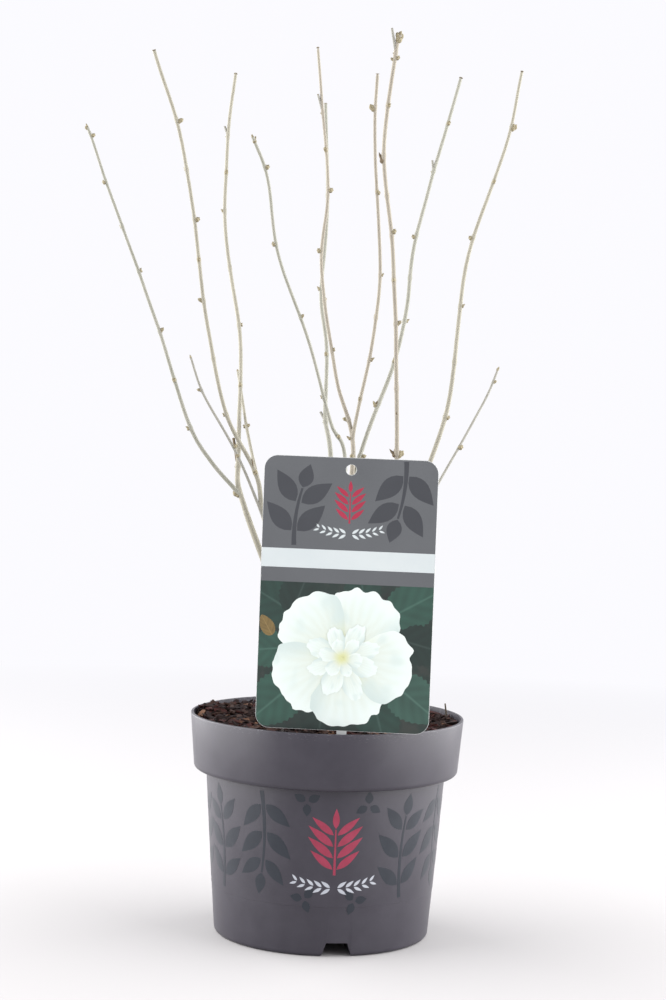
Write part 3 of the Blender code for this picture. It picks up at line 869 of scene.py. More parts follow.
@dataclass(frozen=True)
class Garland:
    """A shallow arc of small pointed leaves under the sprig, in millimetres."""

    x: float
    y: float
    width: float
    sag: float
    leaves: int = 5
    leaf: float = 7.6
    tilt: float = 34.0
    gap: float = 0.7

    def outlines(self) -> list[Outline]:
        """Leaves in two rows that meet under the sprig's foot."""
        shapes = []
        for side in (1, -1):
            for i in range(self.leaves):
                part = (i + 0.35) / self.leaves
                x = self.x + side * 0.5 * self.width * part
                y = self.y - self.sag * (1.0 - part**2)
                rise = math.atan2(2.0 * self.sag * part, 0.5 * self.width)
                size = self.leaf * (1.0 - 0.35 * part)
                for tilt in (self.tilt, -self.tilt):
                    angle = rise + math.radians(tilt)
                    angle = angle if side > 0 else math.pi - angle
                    foot = Vector((x, y)) * MM + heading(angle) * self.gap * MM
                    shapes.append(almond(foot, angle, size * MM, 0.32 * size * MM))
        return shapes


Motif = Spray | Seeds | Garland


def outlines_of(motifs: Sequence[Motif]) -> list[Outline]:
    """All outlines of several motifs."""
    return [outline for motif in motifs for outline in motif.outlines()]


@dataclass
class PotPrint:
    """The pot's print: leafy sprays and seeds, and a crimson sprig at the front and the back."""

    pot: Pot
    front: float = -84.2
    sides: Span = (0.0, 180.0)
    unrolled_radius: float = 79.0 * MM
    slice: float = 2.0 * MM
    thick: float = 0.10 * MM
    level_cuts: range = range(30, 110, 10)
    grey: tuple[Motif, ...] = (
        Spray(50.0, 38.0, 56.0, 98.0, -18.0),
        Spray(89.0, 110.0, 56.0, 262.0, 18.0),
        Spray(125.0, 38.0, 56.0, 90.0, 0.0),
        Spray(-50.0, 110.0, 56.0, 278.0, -18.0),
        Spray(-89.0, 38.0, 56.0, 82.0, 18.0),
        Seeds(21.0, 103.0),
        Seeds(-19.0, 105.0, turn=30.0),
        Seeds(14.0, 38.0, turn=10.0),
        Seeds(-20.0, 39.0, turn=50.0),
    )
    crimson: tuple[Motif, ...] = (Spray(0.0, 56.0, 31.0, 90.0, 0.0, 4, 22.0, 0.25, 1.8, 50.0),)
    silver: tuple[Motif, ...] = (Garland(0.0, 52.0, 56.0, 5.0),)

    def wrap(self, item: Item, bearing: float) -> Item:
        """Lay a flat shape round the pot's wall, and thicken it.

        Args:
            item: The shape, with X along the wall and Y up.
            bearing: Where its middle goes, in degrees round the pot.

        Returns:
            The shape as a thin film on the wall.
        """
        reach = max(abs(corner[0]) for corner in item.bound_box)
        cuts = int(reach / self.slice)
        for i in range(-cuts, cuts + 1):
            bisect(item, RIGHT * i * self.slice, RIGHT)
        for height in self.level_cuts:
            bisect(item, BACK * height * MM, BACK)
        for vertex in item.data.vertices:
            angle = math.radians(bearing) + vertex.co.x / self.unrolled_radius
            radius = self.pot.outer_radius(vertex.co.y) + self.pot.film_proud + 0.2 * self.thick
            vertex.co = (radius * math.cos(angle), radius * math.sin(angle), vertex.co.y)
        close_up(item)
        modify(item, "SOLIDIFY", thickness=self.thick, offset=0.0)
        return shade(item, 40.0)

    def build(self) -> None:
        """Build and dress the inks, each one piece."""
        inks = (
            ("pot_print_slate", self.grey, GREY_PRINT),
            ("pot_print_crimson", self.crimson, CRIMSON_PRINT),
            ("pot_print_silver", self.silver, SILVER_PRINT),
        )
        for name, motifs, finish in inks:
            outlines = outlines_of(motifs)
            sides = [self.wrap(flat_shape(name, outlines), self.front + turn) for turn in self.sides]
            hand_in(joined(name, sides), [finish], "pot_plastic")


# Soil


@dataclass
class Soil:
    """The bark compost: a lumpy bed that fills the pot, covered with chips and crumbs."""

    pot: Pot
    card: "LabelCard"
    level: float = 147.8 * MM
    rings: int = 46
    seat_radius: float = 17.0 * MM
    lump_size: float = 9.0 * MM
    lump_height: float = 1.6 * MM
    heap_centre: Vector = Vector((-80.0 * MM, 20.0 * MM))
    heap_radius: float = 20.0 * MM
    heap_height: float = 4.2 * MM
    rough_size: float = 2.2 * MM
    rough_height: float = 1.1 * MM
    sink: float = 0.9 * MM
    chips: int = 2400
    chip_shapes: int = 7
    crumbs: int = 4200
    crumb_shapes: int = 4
    wall_gap: float = 0.2 * MM
    card_gap: float = 0.6 * MM
    twig_foot: Vector = Vector((85.0, 20.0, 145.5)) * MM
    twig_tip: Vector = Vector((83.0, 20.0, 159.6)) * MM

    def height(self, x: float, y: float) -> float:
        """Height of the soil at a place, by the same rule as its solid."""
        place = Vector((x, y))
        lump = noise.noise(Vector((x, y, 0.0)) / self.lump_size) * self.lump_height
        away = place - self.heap_centre
        heap = self.heap_height * math.exp(-((away.length / self.heap_radius) ** 2))
        part = min(1.0, max(0.0, (place.length - self.seat_radius) / self.lump_size))
        return self.level + part * (lump + heap)

    def bed(self) -> Item:
        """The bed, rough on top and clear of the wall."""
        bottom = self.pot.channel_height + self.pot.wall + GAP
        edge = self.pot.bore_radius(self.level) - GAP
        top = [(edge * i / self.rings, self.level) for i in range(self.rings)]
        inside = self.pot.inside(self.level, GAP)[:4]
        low = self.pot.bore_radius(bottom) - GAP
        item = turned("soil_bed", [*top, *inside, (low, bottom), (0.0, bottom)], 160)
        for vertex in item.data.vertices:
            if vertex.co.z > self.level - 0.1 * MM:
                rough = noise.turbulence(vertex.co / self.rough_size, 3, False) * self.rough_height
                vertex.co.z = self.height(vertex.co.x, vertex.co.y) - self.sink + rough
        return shade(item, 60.0)

    def chip_shape(self, dice: random.Random, size: Vector, jitter: float = 0.07) -> Item:
        """A rough splinter of bark round the origin.

        Args:
            dice: Where its shape comes from.
            size: Its length, width and thickness.
            jitter: How far its corners stray, as a share of its size.

        Returns:
            The splinter, narrower and thinner towards its ends.
        """
        chip = settle(basic("cube", size=1.0, scale=size))
        with editing(chip):
            bpy.ops.mesh.subdivide(number_cuts=1, smoothness=0.0)
        for vertex in chip.data.vertices:
            end = abs(vertex.co.x) / (0.5 * size.x)
            vertex.co.y *= 1.0 - dice.uniform(0.1, 0.7) * end
            vertex.co.z *= 1.0 - dice.uniform(0.0, 0.5) * end
            shift = Vector([dice.uniform(-1.0, 1.0) * jitter for _ in range(3)])
            vertex.co += shift * size
        return chip

    def crumb_shape(self, dice: random.Random) -> Item:
        """A small uneven crumb round the origin."""
        crumb = basic("ico_sphere", subdivisions=1, radius=0.5)
        for vertex in crumb.data.vertices:
            vertex.co *= dice.uniform(0.7, 1.2)
        return crumb

    def lies_clear(self, corners: list[Vector]) -> bool:
        """Whether a piece stays inside the wall and off the card."""
        reach = max(corner.xy.length - self.pot.bore_radius(corner.z) for corner in corners)
        if reach > -self.wall_gap:
            return False
        near = [(c - self.card.foot).dot(self.card.facing) for c in corners if self.card.spans(c)]
        return not near or min(near) > self.card_gap or max(near) < -self.card_gap

    def scatter(self, name: str, shapes: list[Item], places: list[tuple[int, Matrix]]) -> Item:
        """One mesh of many copies of a few shapes, but for those that don't lie clear.

        Args:
            name: The object's name.
            shapes: The shapes.
            places: Each copy's shape, by its number, and its place.

        Returns:
            The object.
        """
        corners: list[Vector] = []
        faces: list[list[int]] = []
        for index, place in places:
            data = shapes[index].data
            moved = [place @ vertex.co for vertex in data.vertices]
            if self.lies_clear(moved):
                first = len(corners)
                corners += moved
                faces += [[first + v for v in face.vertices] for face in data.polygons]
        mesh = bpy.data.meshes.new(name)
        mesh.from_pydata(corners, [], faces)
        return linked(name, mesh)

    def spot(self, dice: random.Random) -> Vector:
        """A place on the soil, evenly dealt over its round."""
        reach = self.pot.bore_radius(self.level) * math.sqrt(dice.random())
        angle = dice.uniform(0.0, math.tau)
        return Vector((reach * math.cos(angle), reach * math.sin(angle), 0.0))

    def chip_place(self, dice: random.Random) -> Matrix:
        """Where a chip lies: mostly flat, turned any way, in or on the bed."""
        place = self.spot(dice)
        place.z = self.height(place.x, place.y) + dice.uniform(-0.4, 1.3) * MM
        tilt = math.radians(dice.gauss(0.0, 15.0))
        roll = math.radians(dice.gauss(0.0, 22.0))
        turn = turn_by(roll, tilt, dice.uniform(0.0, math.tau))
        size = Matrix.Diagonal((*(dice.uniform(0.55, 1.35) for _ in range(3)), 1.0))
        return Matrix.Translation(place) @ turn @ size

    def crumb_place(self, dice: random.Random) -> Matrix:
        """Where a crumb lies, and its size."""
        place = self.spot(dice)
        place.z = self.height(place.x, place.y) + dice.uniform(-0.2, 1.0) * MM
        turn = turn_by(*(dice.uniform(0.0, math.tau) for _ in range(3)))
        size = dice.uniform(0.7, 2.0) * MM
        stretch = Matrix.Diagonal((size * dice.uniform(0.8, 1.7), size, size * 0.7, 1.0))
        return Matrix.Translation(place) @ turn @ stretch

    def twig(self) -> Item:
        """A thin bit of twig that stands up out of the compost on the right."""
        way = self.twig_tip - self.twig_foot
        twig = basic("cone", vertices=9, radius1=0.85 * MM, radius2=0.55 * MM, depth=way.length)
        with editing(twig):
            bpy.ops.mesh.bevel(offset=0.2 * MM, segments=1)
        middle = self.twig_foot.lerp(self.twig_tip, 0.5)
        twig.data.transform(Matrix.Translation(middle) @ aimed(way))
        twig.name = "soil_twig"
        return shade(twig, 50.0)

    def build(self) -> None:
        """Build and dress the bed, the chips by colour, the crumbs and the bit of twig."""
        dice = random.Random(SEED)
        hand_in(self.bed(), [SOIL], "bark_soil", "soil")
        sizes = [
            Vector((dice.uniform(6.5, 13.0), dice.uniform(2.8, 5.2), dice.uniform(0.9, 1.9))) * MM
            for _ in range(self.chip_shapes)
        ]
        shapes = [self.chip_shape(dice, size) for size in sizes]
        shares = {Chip.DARK: 0.50, Chip.RED: 0.24, Chip.BROWN: 0.23, Chip.TAN: 0.03}
        for kind, share in shares.items():
            number = int(share * self.chips)
            places = [(dice.randrange(self.chip_shapes), self.chip_place(dice)) for _ in range(number)]
            chips = self.scatter(f"bark_chips_{kind.name.lower()}", shapes, places)
            hand_in(shade(chips, 38.0), [kind.value], "bark_soil")
        crumbs = [self.crumb_shape(dice) for _ in range(self.crumb_shapes)]
        kinds = self.crumb_shapes
        places = [(dice.randrange(kinds), self.crumb_place(dice)) for _ in range(self.crumbs)]
        hand_in(self.scatter("soil_crumbs", crumbs, places), [SOIL], "bark_soil")
        for shape in (*shapes, *crumbs):
            bpy.data.objects.remove(shape)
        hand_in(self.twig(), [DEAD_FINISH], "bark_soil")


# Label card


@dataclass(frozen=True)
class Petal:
    """A petal of the printed bloom: its bearing in degrees, length and width in millimetres."""

    bearing: float
    length: float
    width: float
    level: int
    start: float = 0.0


@dataclass(frozen=True)
class PictureLeaf:
    """A leaf behind the printed bloom: its middle, bearing, length and width, and its colour."""

    x: float
    y: float
    bearing: float
    length: float
    width: float
    colour: Colour


@dataclass
class LabelCard:
    """The plant label: a stiff card on a stake, printed on its front and plain behind."""

    width: float = 114.6 * MM
    height: float = 180.3 * MM
    thick: float = 0.8 * MM
    corner: float = 9.0 * MM
    foot: Vector = Vector((9.7 * MM, -84.0 * MM, 153.4 * MM))
    roll: float = 0.3
    turn: float = -3.6
    hole_radius: float = 3.4 * MM
    hole_drop: float = 8.0 * MM
    stake_width: float = 6.5 * MM
    stake_length: float = 35.0 * MM
    stake_point: float = 8.0 * MM
    easing: float = 0.12 * MM
    border: float = 0.25 * MM
    ink: float = 0.03 * MM
    picture_top: float = 97.2 * MM
    strip_top: float = 106.7 * MM
    band_top: float = 119.2 * MM
    bloom_centre: Vector = Vector((-1.4 * MM, 48.4 * MM))

    @property
    def facing(self) -> Vector:
        """The way that the card's front faces, but for its roll."""
        turn = math.radians(self.turn)
        return Vector((math.sin(turn), -math.cos(turn), 0.0))

    def spans(self, place: Vector) -> bool:
        """Whether a place lies in front of or behind the card or its stake, and not to its side."""
        width = self.width if place.z > self.foot.z - 3 * MM else self.stake_width
        return abs(place.x - self.foot.x) < 0.5 * width + 1 * MM

    def standing(self, item: Item) -> Item:
        """Stand a flat piece up at the card's place."""
        turn = turn_by(*(math.radians(angle) for angle in (90.0, self.roll, self.turn)))
        item.data.transform(Matrix.Translation(self.foot) @ turn)
        return item

    def plate(self, name: str, inset: float, thick: float, base: float) -> Item:
        """A flat plate of the card's shape with its hang hole, drawn in by an inset.

        Args:
            name: The object's name.
            inset: How far the outline is drawn in.
            thick: The plate's thickness.
            base: Height of its back face over the card's middle plane.

        Returns:
            The plate, lying in the XY plane.
        """
        plate = basic("plane", size=1.0, location=(0.0, 0.5 * self.height, base))
        plate.name = name
        plate.scale = (self.width - 2 * inset, self.height - 2 * inset, 1.0)
        with editing(settle(plate)):
            bpy.ops.mesh.bevel(offset=self.corner - inset, segments=12, affect="VERTICES")
            bpy.ops.mesh.select_all(action="SELECT")
            bpy.ops.mesh.extrude_region_move(TRANSFORM_OT_translate={"value": (0.0, 0.0, thick)})
        close_up(plate)
        place = (0.0, self.height - self.hole_drop, base)
        radius = self.hole_radius + inset
        hole = basic("cylinder", vertices=48, radius=radius, depth=4 * MM, location=place)
        return carve(plate, settle(hole))

    def stock(self) -> Item:
        """The bare card with its stake, its edges eased."""
        card = self.plate("card_stock", 0.0, self.thick, -0.5 * self.thick)
        shoulder = -(self.stake_length - self.stake_point)
        half = 0.5 * self.stake_width
        outline = [(-half, MM), (-half, shoulder), (-0.5 * half, -self.stake_length)]
        outline += [(-x, y) for x, y in reversed(outline)]
        stake = flat_shape("stake", [[Vector(point) for point in outline]])
        modify(stake, "SOLIDIFY", thickness=self.thick, offset=0.0)
        carve(card, stake, "UNION")
        return shade(eased(card, self.easing), 40.0)

    def panel(self, name: str, low: float, high: float) -> Item:
        """The part of the printed face between two heights."""
        sheet = self.plate(name, self.border, self.ink, 0.5 * self.thick)
        for edge, normal in ((low, -BACK), (high, BACK)):
            if 0.0 < edge < self.height:
                bisect(sheet, BACK * edge, normal, True, True)
        return sheet

    def motif_layer(self, name: str, motifs: Sequence[Motif], finish: Finish) -> None:
        """Motifs of one ink on the top panel."""
        layer = flat_shape(name, outlines_of(motifs))
        modify(layer, "SOLIDIFY", thickness=self.ink, offset=0.0)
        layer.data.transform(Matrix.Translation((0.0, 0.0, 0.5 * self.thick + 1.3 * self.ink)))
        hand_in(self.standing(layer), [finish], "label_card")

    def round_patch(self, bearing: float, middle: Vector, shape: Shape, paint: Paint) -> Item:
        """A patch of the picture, shaped and coloured point by point.

        Args:
            bearing: The way it points on the card, in degrees.
            middle: The place that it is measured from.
            shape: From a point of the unit disc to how far it goes along and to the left.
            paint: From the same point to its colour.

        Returns:
            The open sheet, with its colours kept in the mesh.
        """
        along = heading(math.radians(bearing))
        across = leftward(along)
        patch = basic("grid", x_subdivisions=26, y_subdivisions=26, size=2.0)
        inks = patch.data.attributes.new("ink", "FLOAT_COLOR", "POINT")
        for vertex, ink_colour in zip(patch.data.vertices, inks.data):
            x, y = vertex.co.xy
            place = (x * math.sqrt(1.0 - 0.5 * y * y), y * math.sqrt(1.0 - 0.5 * x * x))
            ahead, aside = shape(*place)
            vertex.co = middle + (along * ahead + across * aside).to_3d()
            ink_colour.color = (*paint(*place), 1.0)
        return patch

    def petal(self, petal: Petal) -> Item:
        """One petal of the bloom, wavy at its edge and veined."""
        centre = Vector((*self.bloom_centre, 0.5 * self.thick + (3.0 + 1.2 * petal.level) * self.ink))
        seed = Vector((petal.bearing, petal.length, 0.0))

        def shape(x: float, y: float) -> Span:
            """The petal's outline, narrow at its foot, with a ruffled edge."""
            ruffle = 1.0 + 0.09 * math.hypot(x, y) ** 4 * noise.noise(Vector((x, y, 0.0)) * 3.6 + seed)
            part = 0.5 * (y + 1.0)
            wide = 0.5 * petal.width * MM * (0.42 + 0.58 * smooth_step(0.0, 0.75, part))
            return (petal.start + petal.length * part * ruffle) * MM, x * wide * ruffle

        def paint(x: float, y: float) -> Colour:
            """White, shaded towards the foot and on the side that lies under its neighbour."""
            part = 0.5 * (y + 1.0)
            place = Vector((x, y, 0.0))
            fan = math.atan2(x, y + 1.35)
            vein = 0.5 + 0.5 * math.sin(46.0 * fan + 2.0 * noise.noise(place * 2.0 + seed))
            light = 0.3 * vein + 0.7 * smooth_step(0.2, 0.9, part)
            under = smooth_step(0.35, 0.95, -x) * smooth_step(1.0, 0.35, abs(y))
            cloud = noise.noise(place * 2.4 + seed * 2.0)
            white = blend(tone(190, 196, 184), tone(200, 210, 206), light)
            white = blend(white, tone(206, 214, 210), 0.7 * smooth_step(0.55, 1.0, math.hypot(x, y)))
            white = blend(white, tone(160, 177, 174), 0.55 * under)
            white = blend(white, tone(180, 194, 190), 0.5 * smooth_step(0.1, 0.6, cloud))
            return blend(tone(188, 190, 140), white, smooth_step(0.0, 0.45, part))

        return self.round_patch(petal.bearing, centre, shape, paint)

    def leaf(self, leaf: PictureLeaf, level: int) -> Item:
        """One leaf behind the bloom, toothed, with a midrib and side veins.

        Args:
            leaf: The leaf.
            level: How many leaves it lies over.

        Returns:
            The open sheet, with its colours kept in the mesh.
        """
        height = 0.5 * self.thick + (1.4 + 0.12 * level) * self.ink

        def shape(x: float, y: float) -> Span:
            """An egg shape with a drawn-out tip and blunt teeth."""
            part = 0.5 * (y + 1.0)
            tooth = 1.0 + 0.05 * math.hypot(x, y) ** 6 * math.sin(34.0 * y)
            wide = 0.5 * leaf.width * MM * (1.12 - 0.5 * part**2) * tooth
            return 0.5 * leaf.length * MM * y, x * wide

        def paint(x: float, y: float) -> Colour:
            """The leaf's green, paler on its veins and darker between them."""
            rib = smooth_step(0.07, 0.0, abs(x))
            side = 0.5 + 0.5 * math.sin(15.0 * (y - 0.7 * abs(x)))
            cloud = noise.noise(Vector((x + leaf.x, y + leaf.y, 0.0)) * 1.7)
            light = 0.55 + 0.3 * side + 0.35 * cloud
            green = blend([0.45 * c for c in leaf.colour], leaf.colour, light)
            return blend(green, [min(0.6, 1.5 * c + 0.02) for c in leaf.colour], 0.6 * rib)

        return self.round_patch(leaf.bearing, Vector((leaf.x * MM, leaf.y * MM, height)), shape, paint)

    def keep_inside(self, item: Item) -> None:
        """Trim the picture's leaves to the picture panel, round its two lower corners too."""
        half = 0.5 * self.width - self.border
        sides = ((RIGHT, half), (-RIGHT, half), (-BACK, -self.border), (BACK, self.picture_top))
        for normal, reach in sides:
            bisect(item, normal * reach, normal, True)
        radius = self.corner - self.border
        for side in (1.0, -1.0):
            middle = RIGHT * side * (half - radius) + BACK * (self.border + radius)
            for angle in range(10, 90, 10):
                across, down = heading(math.radians(angle))
                normal = RIGHT * side * across - BACK * down
                bisect(item, middle + radius * normal, normal, True)

    def bloom(self) -> None:
        """The printed bloom: five broad petals, a ruff of small ones, and a ring of short ones at its
        middle.
        """
        dice = random.Random(SEED + 4)
        petals = [Petal(62.0 + 72.0 * i, 47.0 + dice.uniform(-1.5, 1.5), 53.0, i) for i in range(5)]
        for i in range(8):
            bearing = 20.0 + 45.0 * i + dice.uniform(-8, 8)
            petals.append(Petal(bearing, dice.uniform(21, 30), dice.uniform(12, 17), 5 + i % 3))
        for i in range(6):
            petals.append(Petal(50.0 + 60.0 * i, dice.uniform(11, 16), dice.uniform(8, 12), 8, 1.0))
        item = joined("card_bloom", [self.petal(petal) for petal in petals])
        hand_in(self.standing(item), [CARD_PICTURE], "label_card")

    def leaves(self) -> None:
        """The printed leaves round the bloom."""
        dark, green, pale = tone(17, 37, 32), tone(24, 52, 44), tone(36, 70, 59)
        leaves = (
            PictureLeaf(-47.0, 84.0, 150.0, 40.0, 30.0, green),
            PictureLeaf(-30.0, 92.0, 70.0, 36.0, 26.0, dark),
            PictureLeaf(46.0, 86.0, 30.0, 42.0, 30.0, pale),
            PictureLeaf(10.0, 96.0, 100.0, 34.0, 24.0, green),
            PictureLeaf(52.0, 58.0, -14.0, 36.0, 26.0, dark),
            PictureLeaf(-53.0, 52.0, 186.0, 32.0, 24.0, pale),
            PictureLeaf(-46.0, 18.0, 222.0, 44.0, 32.0, pale),
            PictureLeaf(-14.0, 6.0, 262.0, 40.0, 28.0, dark),
            PictureLeaf(24.0, 8.0, 286.0, 42.0, 30.0, green),
            PictureLeaf(47.0, 22.0, -38.0, 40.0, 30.0, tone(44, 74, 64)),
            PictureLeaf(-52.0, 68.0, 120.0, 15.0, 9.0, tone(112, 92, 50)),
        )
        item = joined("card_leaves", [self.leaf(leaf, level) for level, leaf in enumerate(leaves)])
        self.keep_inside(item)
        hand_in(self.standing(item), [CARD_PICTURE], "label_card")

    def build(self) -> None:
        """Build and dress the card and its print."""
        hand_in(self.standing(self.stock()), [CARD_STOCK], "label_card", "label_card")
        panels = (
            ("card_top_panel", self.band_top, self.height, CARD_GREY),
            ("card_white_band", self.strip_top, self.band_top, CARD_WHITE),
            ("card_grey_strip", self.picture_top, self.strip_top, CARD_GREY),
            ("card_picture_ground", 0.0, self.picture_top, CARD_DARK),
        )
        for name, low, high, finish in panels:
            hand_in(self.standing(self.panel(name, low, high)), [finish], "label_card")
        leafy = {"length": 38.0, "curl": -20.0, "pairs": 2, "leaf": 26.0}
        leafy |= {"plump": 0.48, "thick": 3.2, "spread": 44.0}
        slate = (Spray(-36.0, 121.5, lean=93.0, **leafy), Spray(36.0, 179.0, lean=273.0, **leafy))
        sprig = Spray(0.0, 137.0, 20.0, 90.0, 0.0, 4, 12.5, 0.27, 1.2, 50.0)
        garland = Garland(0.0, 134.0, 44.0, 4.0, leaf=5.8)
        motifs = (
            ("card_print_slate", slate, CARD_SLATE),
            ("card_print_crimson", (sprig,), CARD_CRIMSON),
            ("card_print_silver", (garland,), CARD_WHITE),
        )
        for name, shapes, finish in motifs:
            self.motif_layer(name, shapes, finish)
        self.leaves()
        self.bloom()


# Shrub


class Tip(Enum):
    """How a shoot ends."""

    CUT = "cut"
    BUD = "bud"


@dataclass(frozen=True)
class Shoot:
    """A shoot, in millimetres, as its solid has it.

    bends are (x, height) pairs from foot to tip, seen from the front. depths are y at the foot and
    at the tip. A bud is its height, below 0 on the left side. A stub is a short pruned twig: its
    height, its length and its rise from level in degrees.
    """

    bends: tuple[Span, ...]
    depths: Span
    widths: Span
    buds: tuple[float, ...] = ()
    stubs: tuple[tuple[float, float, float], ...] = ()
    leaves_at: float = 0.0
    tint: Tint = Tint.CREAM
    tip: Tip = Tip.CUT


@dataclass(frozen=True)
class Stem:
    """A main stem: its arm's bearing in degrees and width, its leader and its side shoots."""

    bearing: float
    arm_width: float
    leader: Shoot
    branches: tuple[Shoot, ...] = ()


STEMS = {
    "left_outer": Stem(
        168.0, 4.8,
        Shoot(
            ((-61, 292), (-68, 330), (-70, 408), (-84, 490), (-85, 565), (-82, 607)),
            (-4, 88), (4.2, 2.5), (336, 422, -504), ((-323, 21, 80), (-560, 8, 68)), tint=Tint.CREAM,
        ),
        (
            Shoot(
                ((-86, 326), (-102, 353), (-124, 416), (-149, 483), (-168, 534), (-174, 549)),
                (-4, -45), (3.1, 1.9), (-349, 414, 454, -513, 544), (), 303, Tint.GREEN, Tip.BUD,
            ),
        ),
    ),
    "left_inner": Stem(
        208.0, 4.4,
        Shoot(
            ((-46, 281), (-54, 318), (-75, 359), (-89, 417), (-107, 530), (-128, 597)),
            (-12, -70), (3.8, 2.5), (-359, -435, 489, 553), tint=Tint.CREAM,
        ),
        (
            Shoot(
                ((-60, 340), (-72, 390)),
                (-12, 45), (2.4, 2.1), (-351,), (), 314, Tint.CREAM, Tip.BUD,
            ),
            Shoot(
                ((-67, 331), (-90, 371), (-100, 397)),
                (-14, -40), (2.3, 1.7), (-375,), (), 287, Tint.GREY, Tip.BUD,
            ),
        ),
    ),
    "front": Stem(
        278.0, 4.0,
        Shoot(
            ((7, 320), (-4, 356), (-19, 405), (-41, 463), (-50, 512), (-60, 538)),
            (-26, -105), (2.8, 2.1), (-373, 425, -472, 520), tint=Tint.GREEN, tip=Tip.BUD,
        ),
    ),
    "centre": Stem(
        40.0, 5.0,
        Shoot(
            ((11, 304), (11, 348), (-2, 389), (-14, 463), (-12, 525), (-22, 620)),
            (6, 40), (4.0, 2.1), (-358, 406, -476, 519), ((-574, 13, 80),), tint=Tint.TAN,
        ),
        (
            Shoot(
                ((26, 445), (20, 544), (20, 593)),
                (6, -25), (2.7, 2.4), (400, 458, -571), (), 345, Tint.TAN,
            ),
            Shoot(
                ((19, 341), (38, 395), (47, 440), (53, 491), (82, 608)),
                (7, 80), (3.4, 2.6), (332, -370, 429, -491), ((-538, 8, 68),), 310, Tint.GREEN,
            ),
        ),
    ),
    "back": Stem(
        105.0, 4.2,
        Shoot(
            ((-3, 318), (-8, 360), (-9, 408), (-14, 447), (-12, 514), (-16, 591)),
            (30, 115), (3.8, 2.5), (-451,), ((-356, 8, 68),), tint=Tint.GREEN,
        ),
    ),
    "right": Stem(
        345.0, 5.2,
        Shoot(
            ((43, 254), (42, 338), (35, 460), (26, 538), (31, 601), (34, 615)),
            (-6, -55), (4.4, 2.8), (424, -324, 483, -536, 601, -337, 336), ((-603, 16, 72),),
            tint=Tint.TAN, tip=Tip.BUD,
        ),
        (
            Shoot(
                ((76, 368), (86, 466), (111, 551), (121, 604)),
                (-6, 15), (3.8, 2.2), (362, 439, -487, 565), (), 273, Tint.CREAM,
            ),
            Shoot(
                ((76, 321), (104, 372), (115, 398)),
                (-6, 62), (2.2, 1.9), (341, 388), (), 260, Tint.GREY, Tip.BUD,
            ),
        ),
    ),
}


@dataclass(frozen=True)
class Growth:
    """The sizes by which every shoot grows, the same as in the solids and then finer."""

    trunk_lean: Vector = Vector((-2.0 * MM, 1.0 * MM, 0.0))
    arm_foot: float = 158.0 * MM
    arm_reach: float = 9.5 * MM
    arm_bend: float = 172.0 * MM
    arm_end: float = 182.0 * MM
    waist: float = 0.25
    waist_width: float = 0.9
    curve_steps: int = 10
    kink: float = 0.45 * MM
    swell: float = 0.26
    swell_length: float = 1.7 * MM
    joint_spacing: float = 52.0 * MM
    ring_step: float = 0.85 * MM
    fine_step: float = 0.4 * MM
    fine_reach: float = 2.5 * MM
    collar: float = 5 * MM
    step: float = 2 * MM
    ridge: float = 0.014
    ridge_size: float = 0.55 * MM
    knot_size: float = 3.0 * MM
    grain_size: float = 0.6 * MM
    sides: int = 18


GROWTH = Growth()


def smooth_line(stations: Sequence[Vector]) -> list[Vector]:
    """Points on a smooth curve through the stations."""
    first = 2 * stations[0] - stations[1]
    last = 2 * stations[-1] - stations[-2]
    guides = [first, *stations, last]
    points = []
    for before, start, end, after in zip(guides, guides[1:], guides[2:], guides[3:]):
        for i in range(GROWTH.curve_steps):
            t = i / GROWTH.curve_steps
            bend = (2 * before - 5 * start + 4 * end - after) * t**2
            twist = (3 * start - before - 3 * end + after) * t**3
            points.append(0.5 * (2 * start + (end - before) * t + bend + twist))
    points.append(stations[-1])
    return points


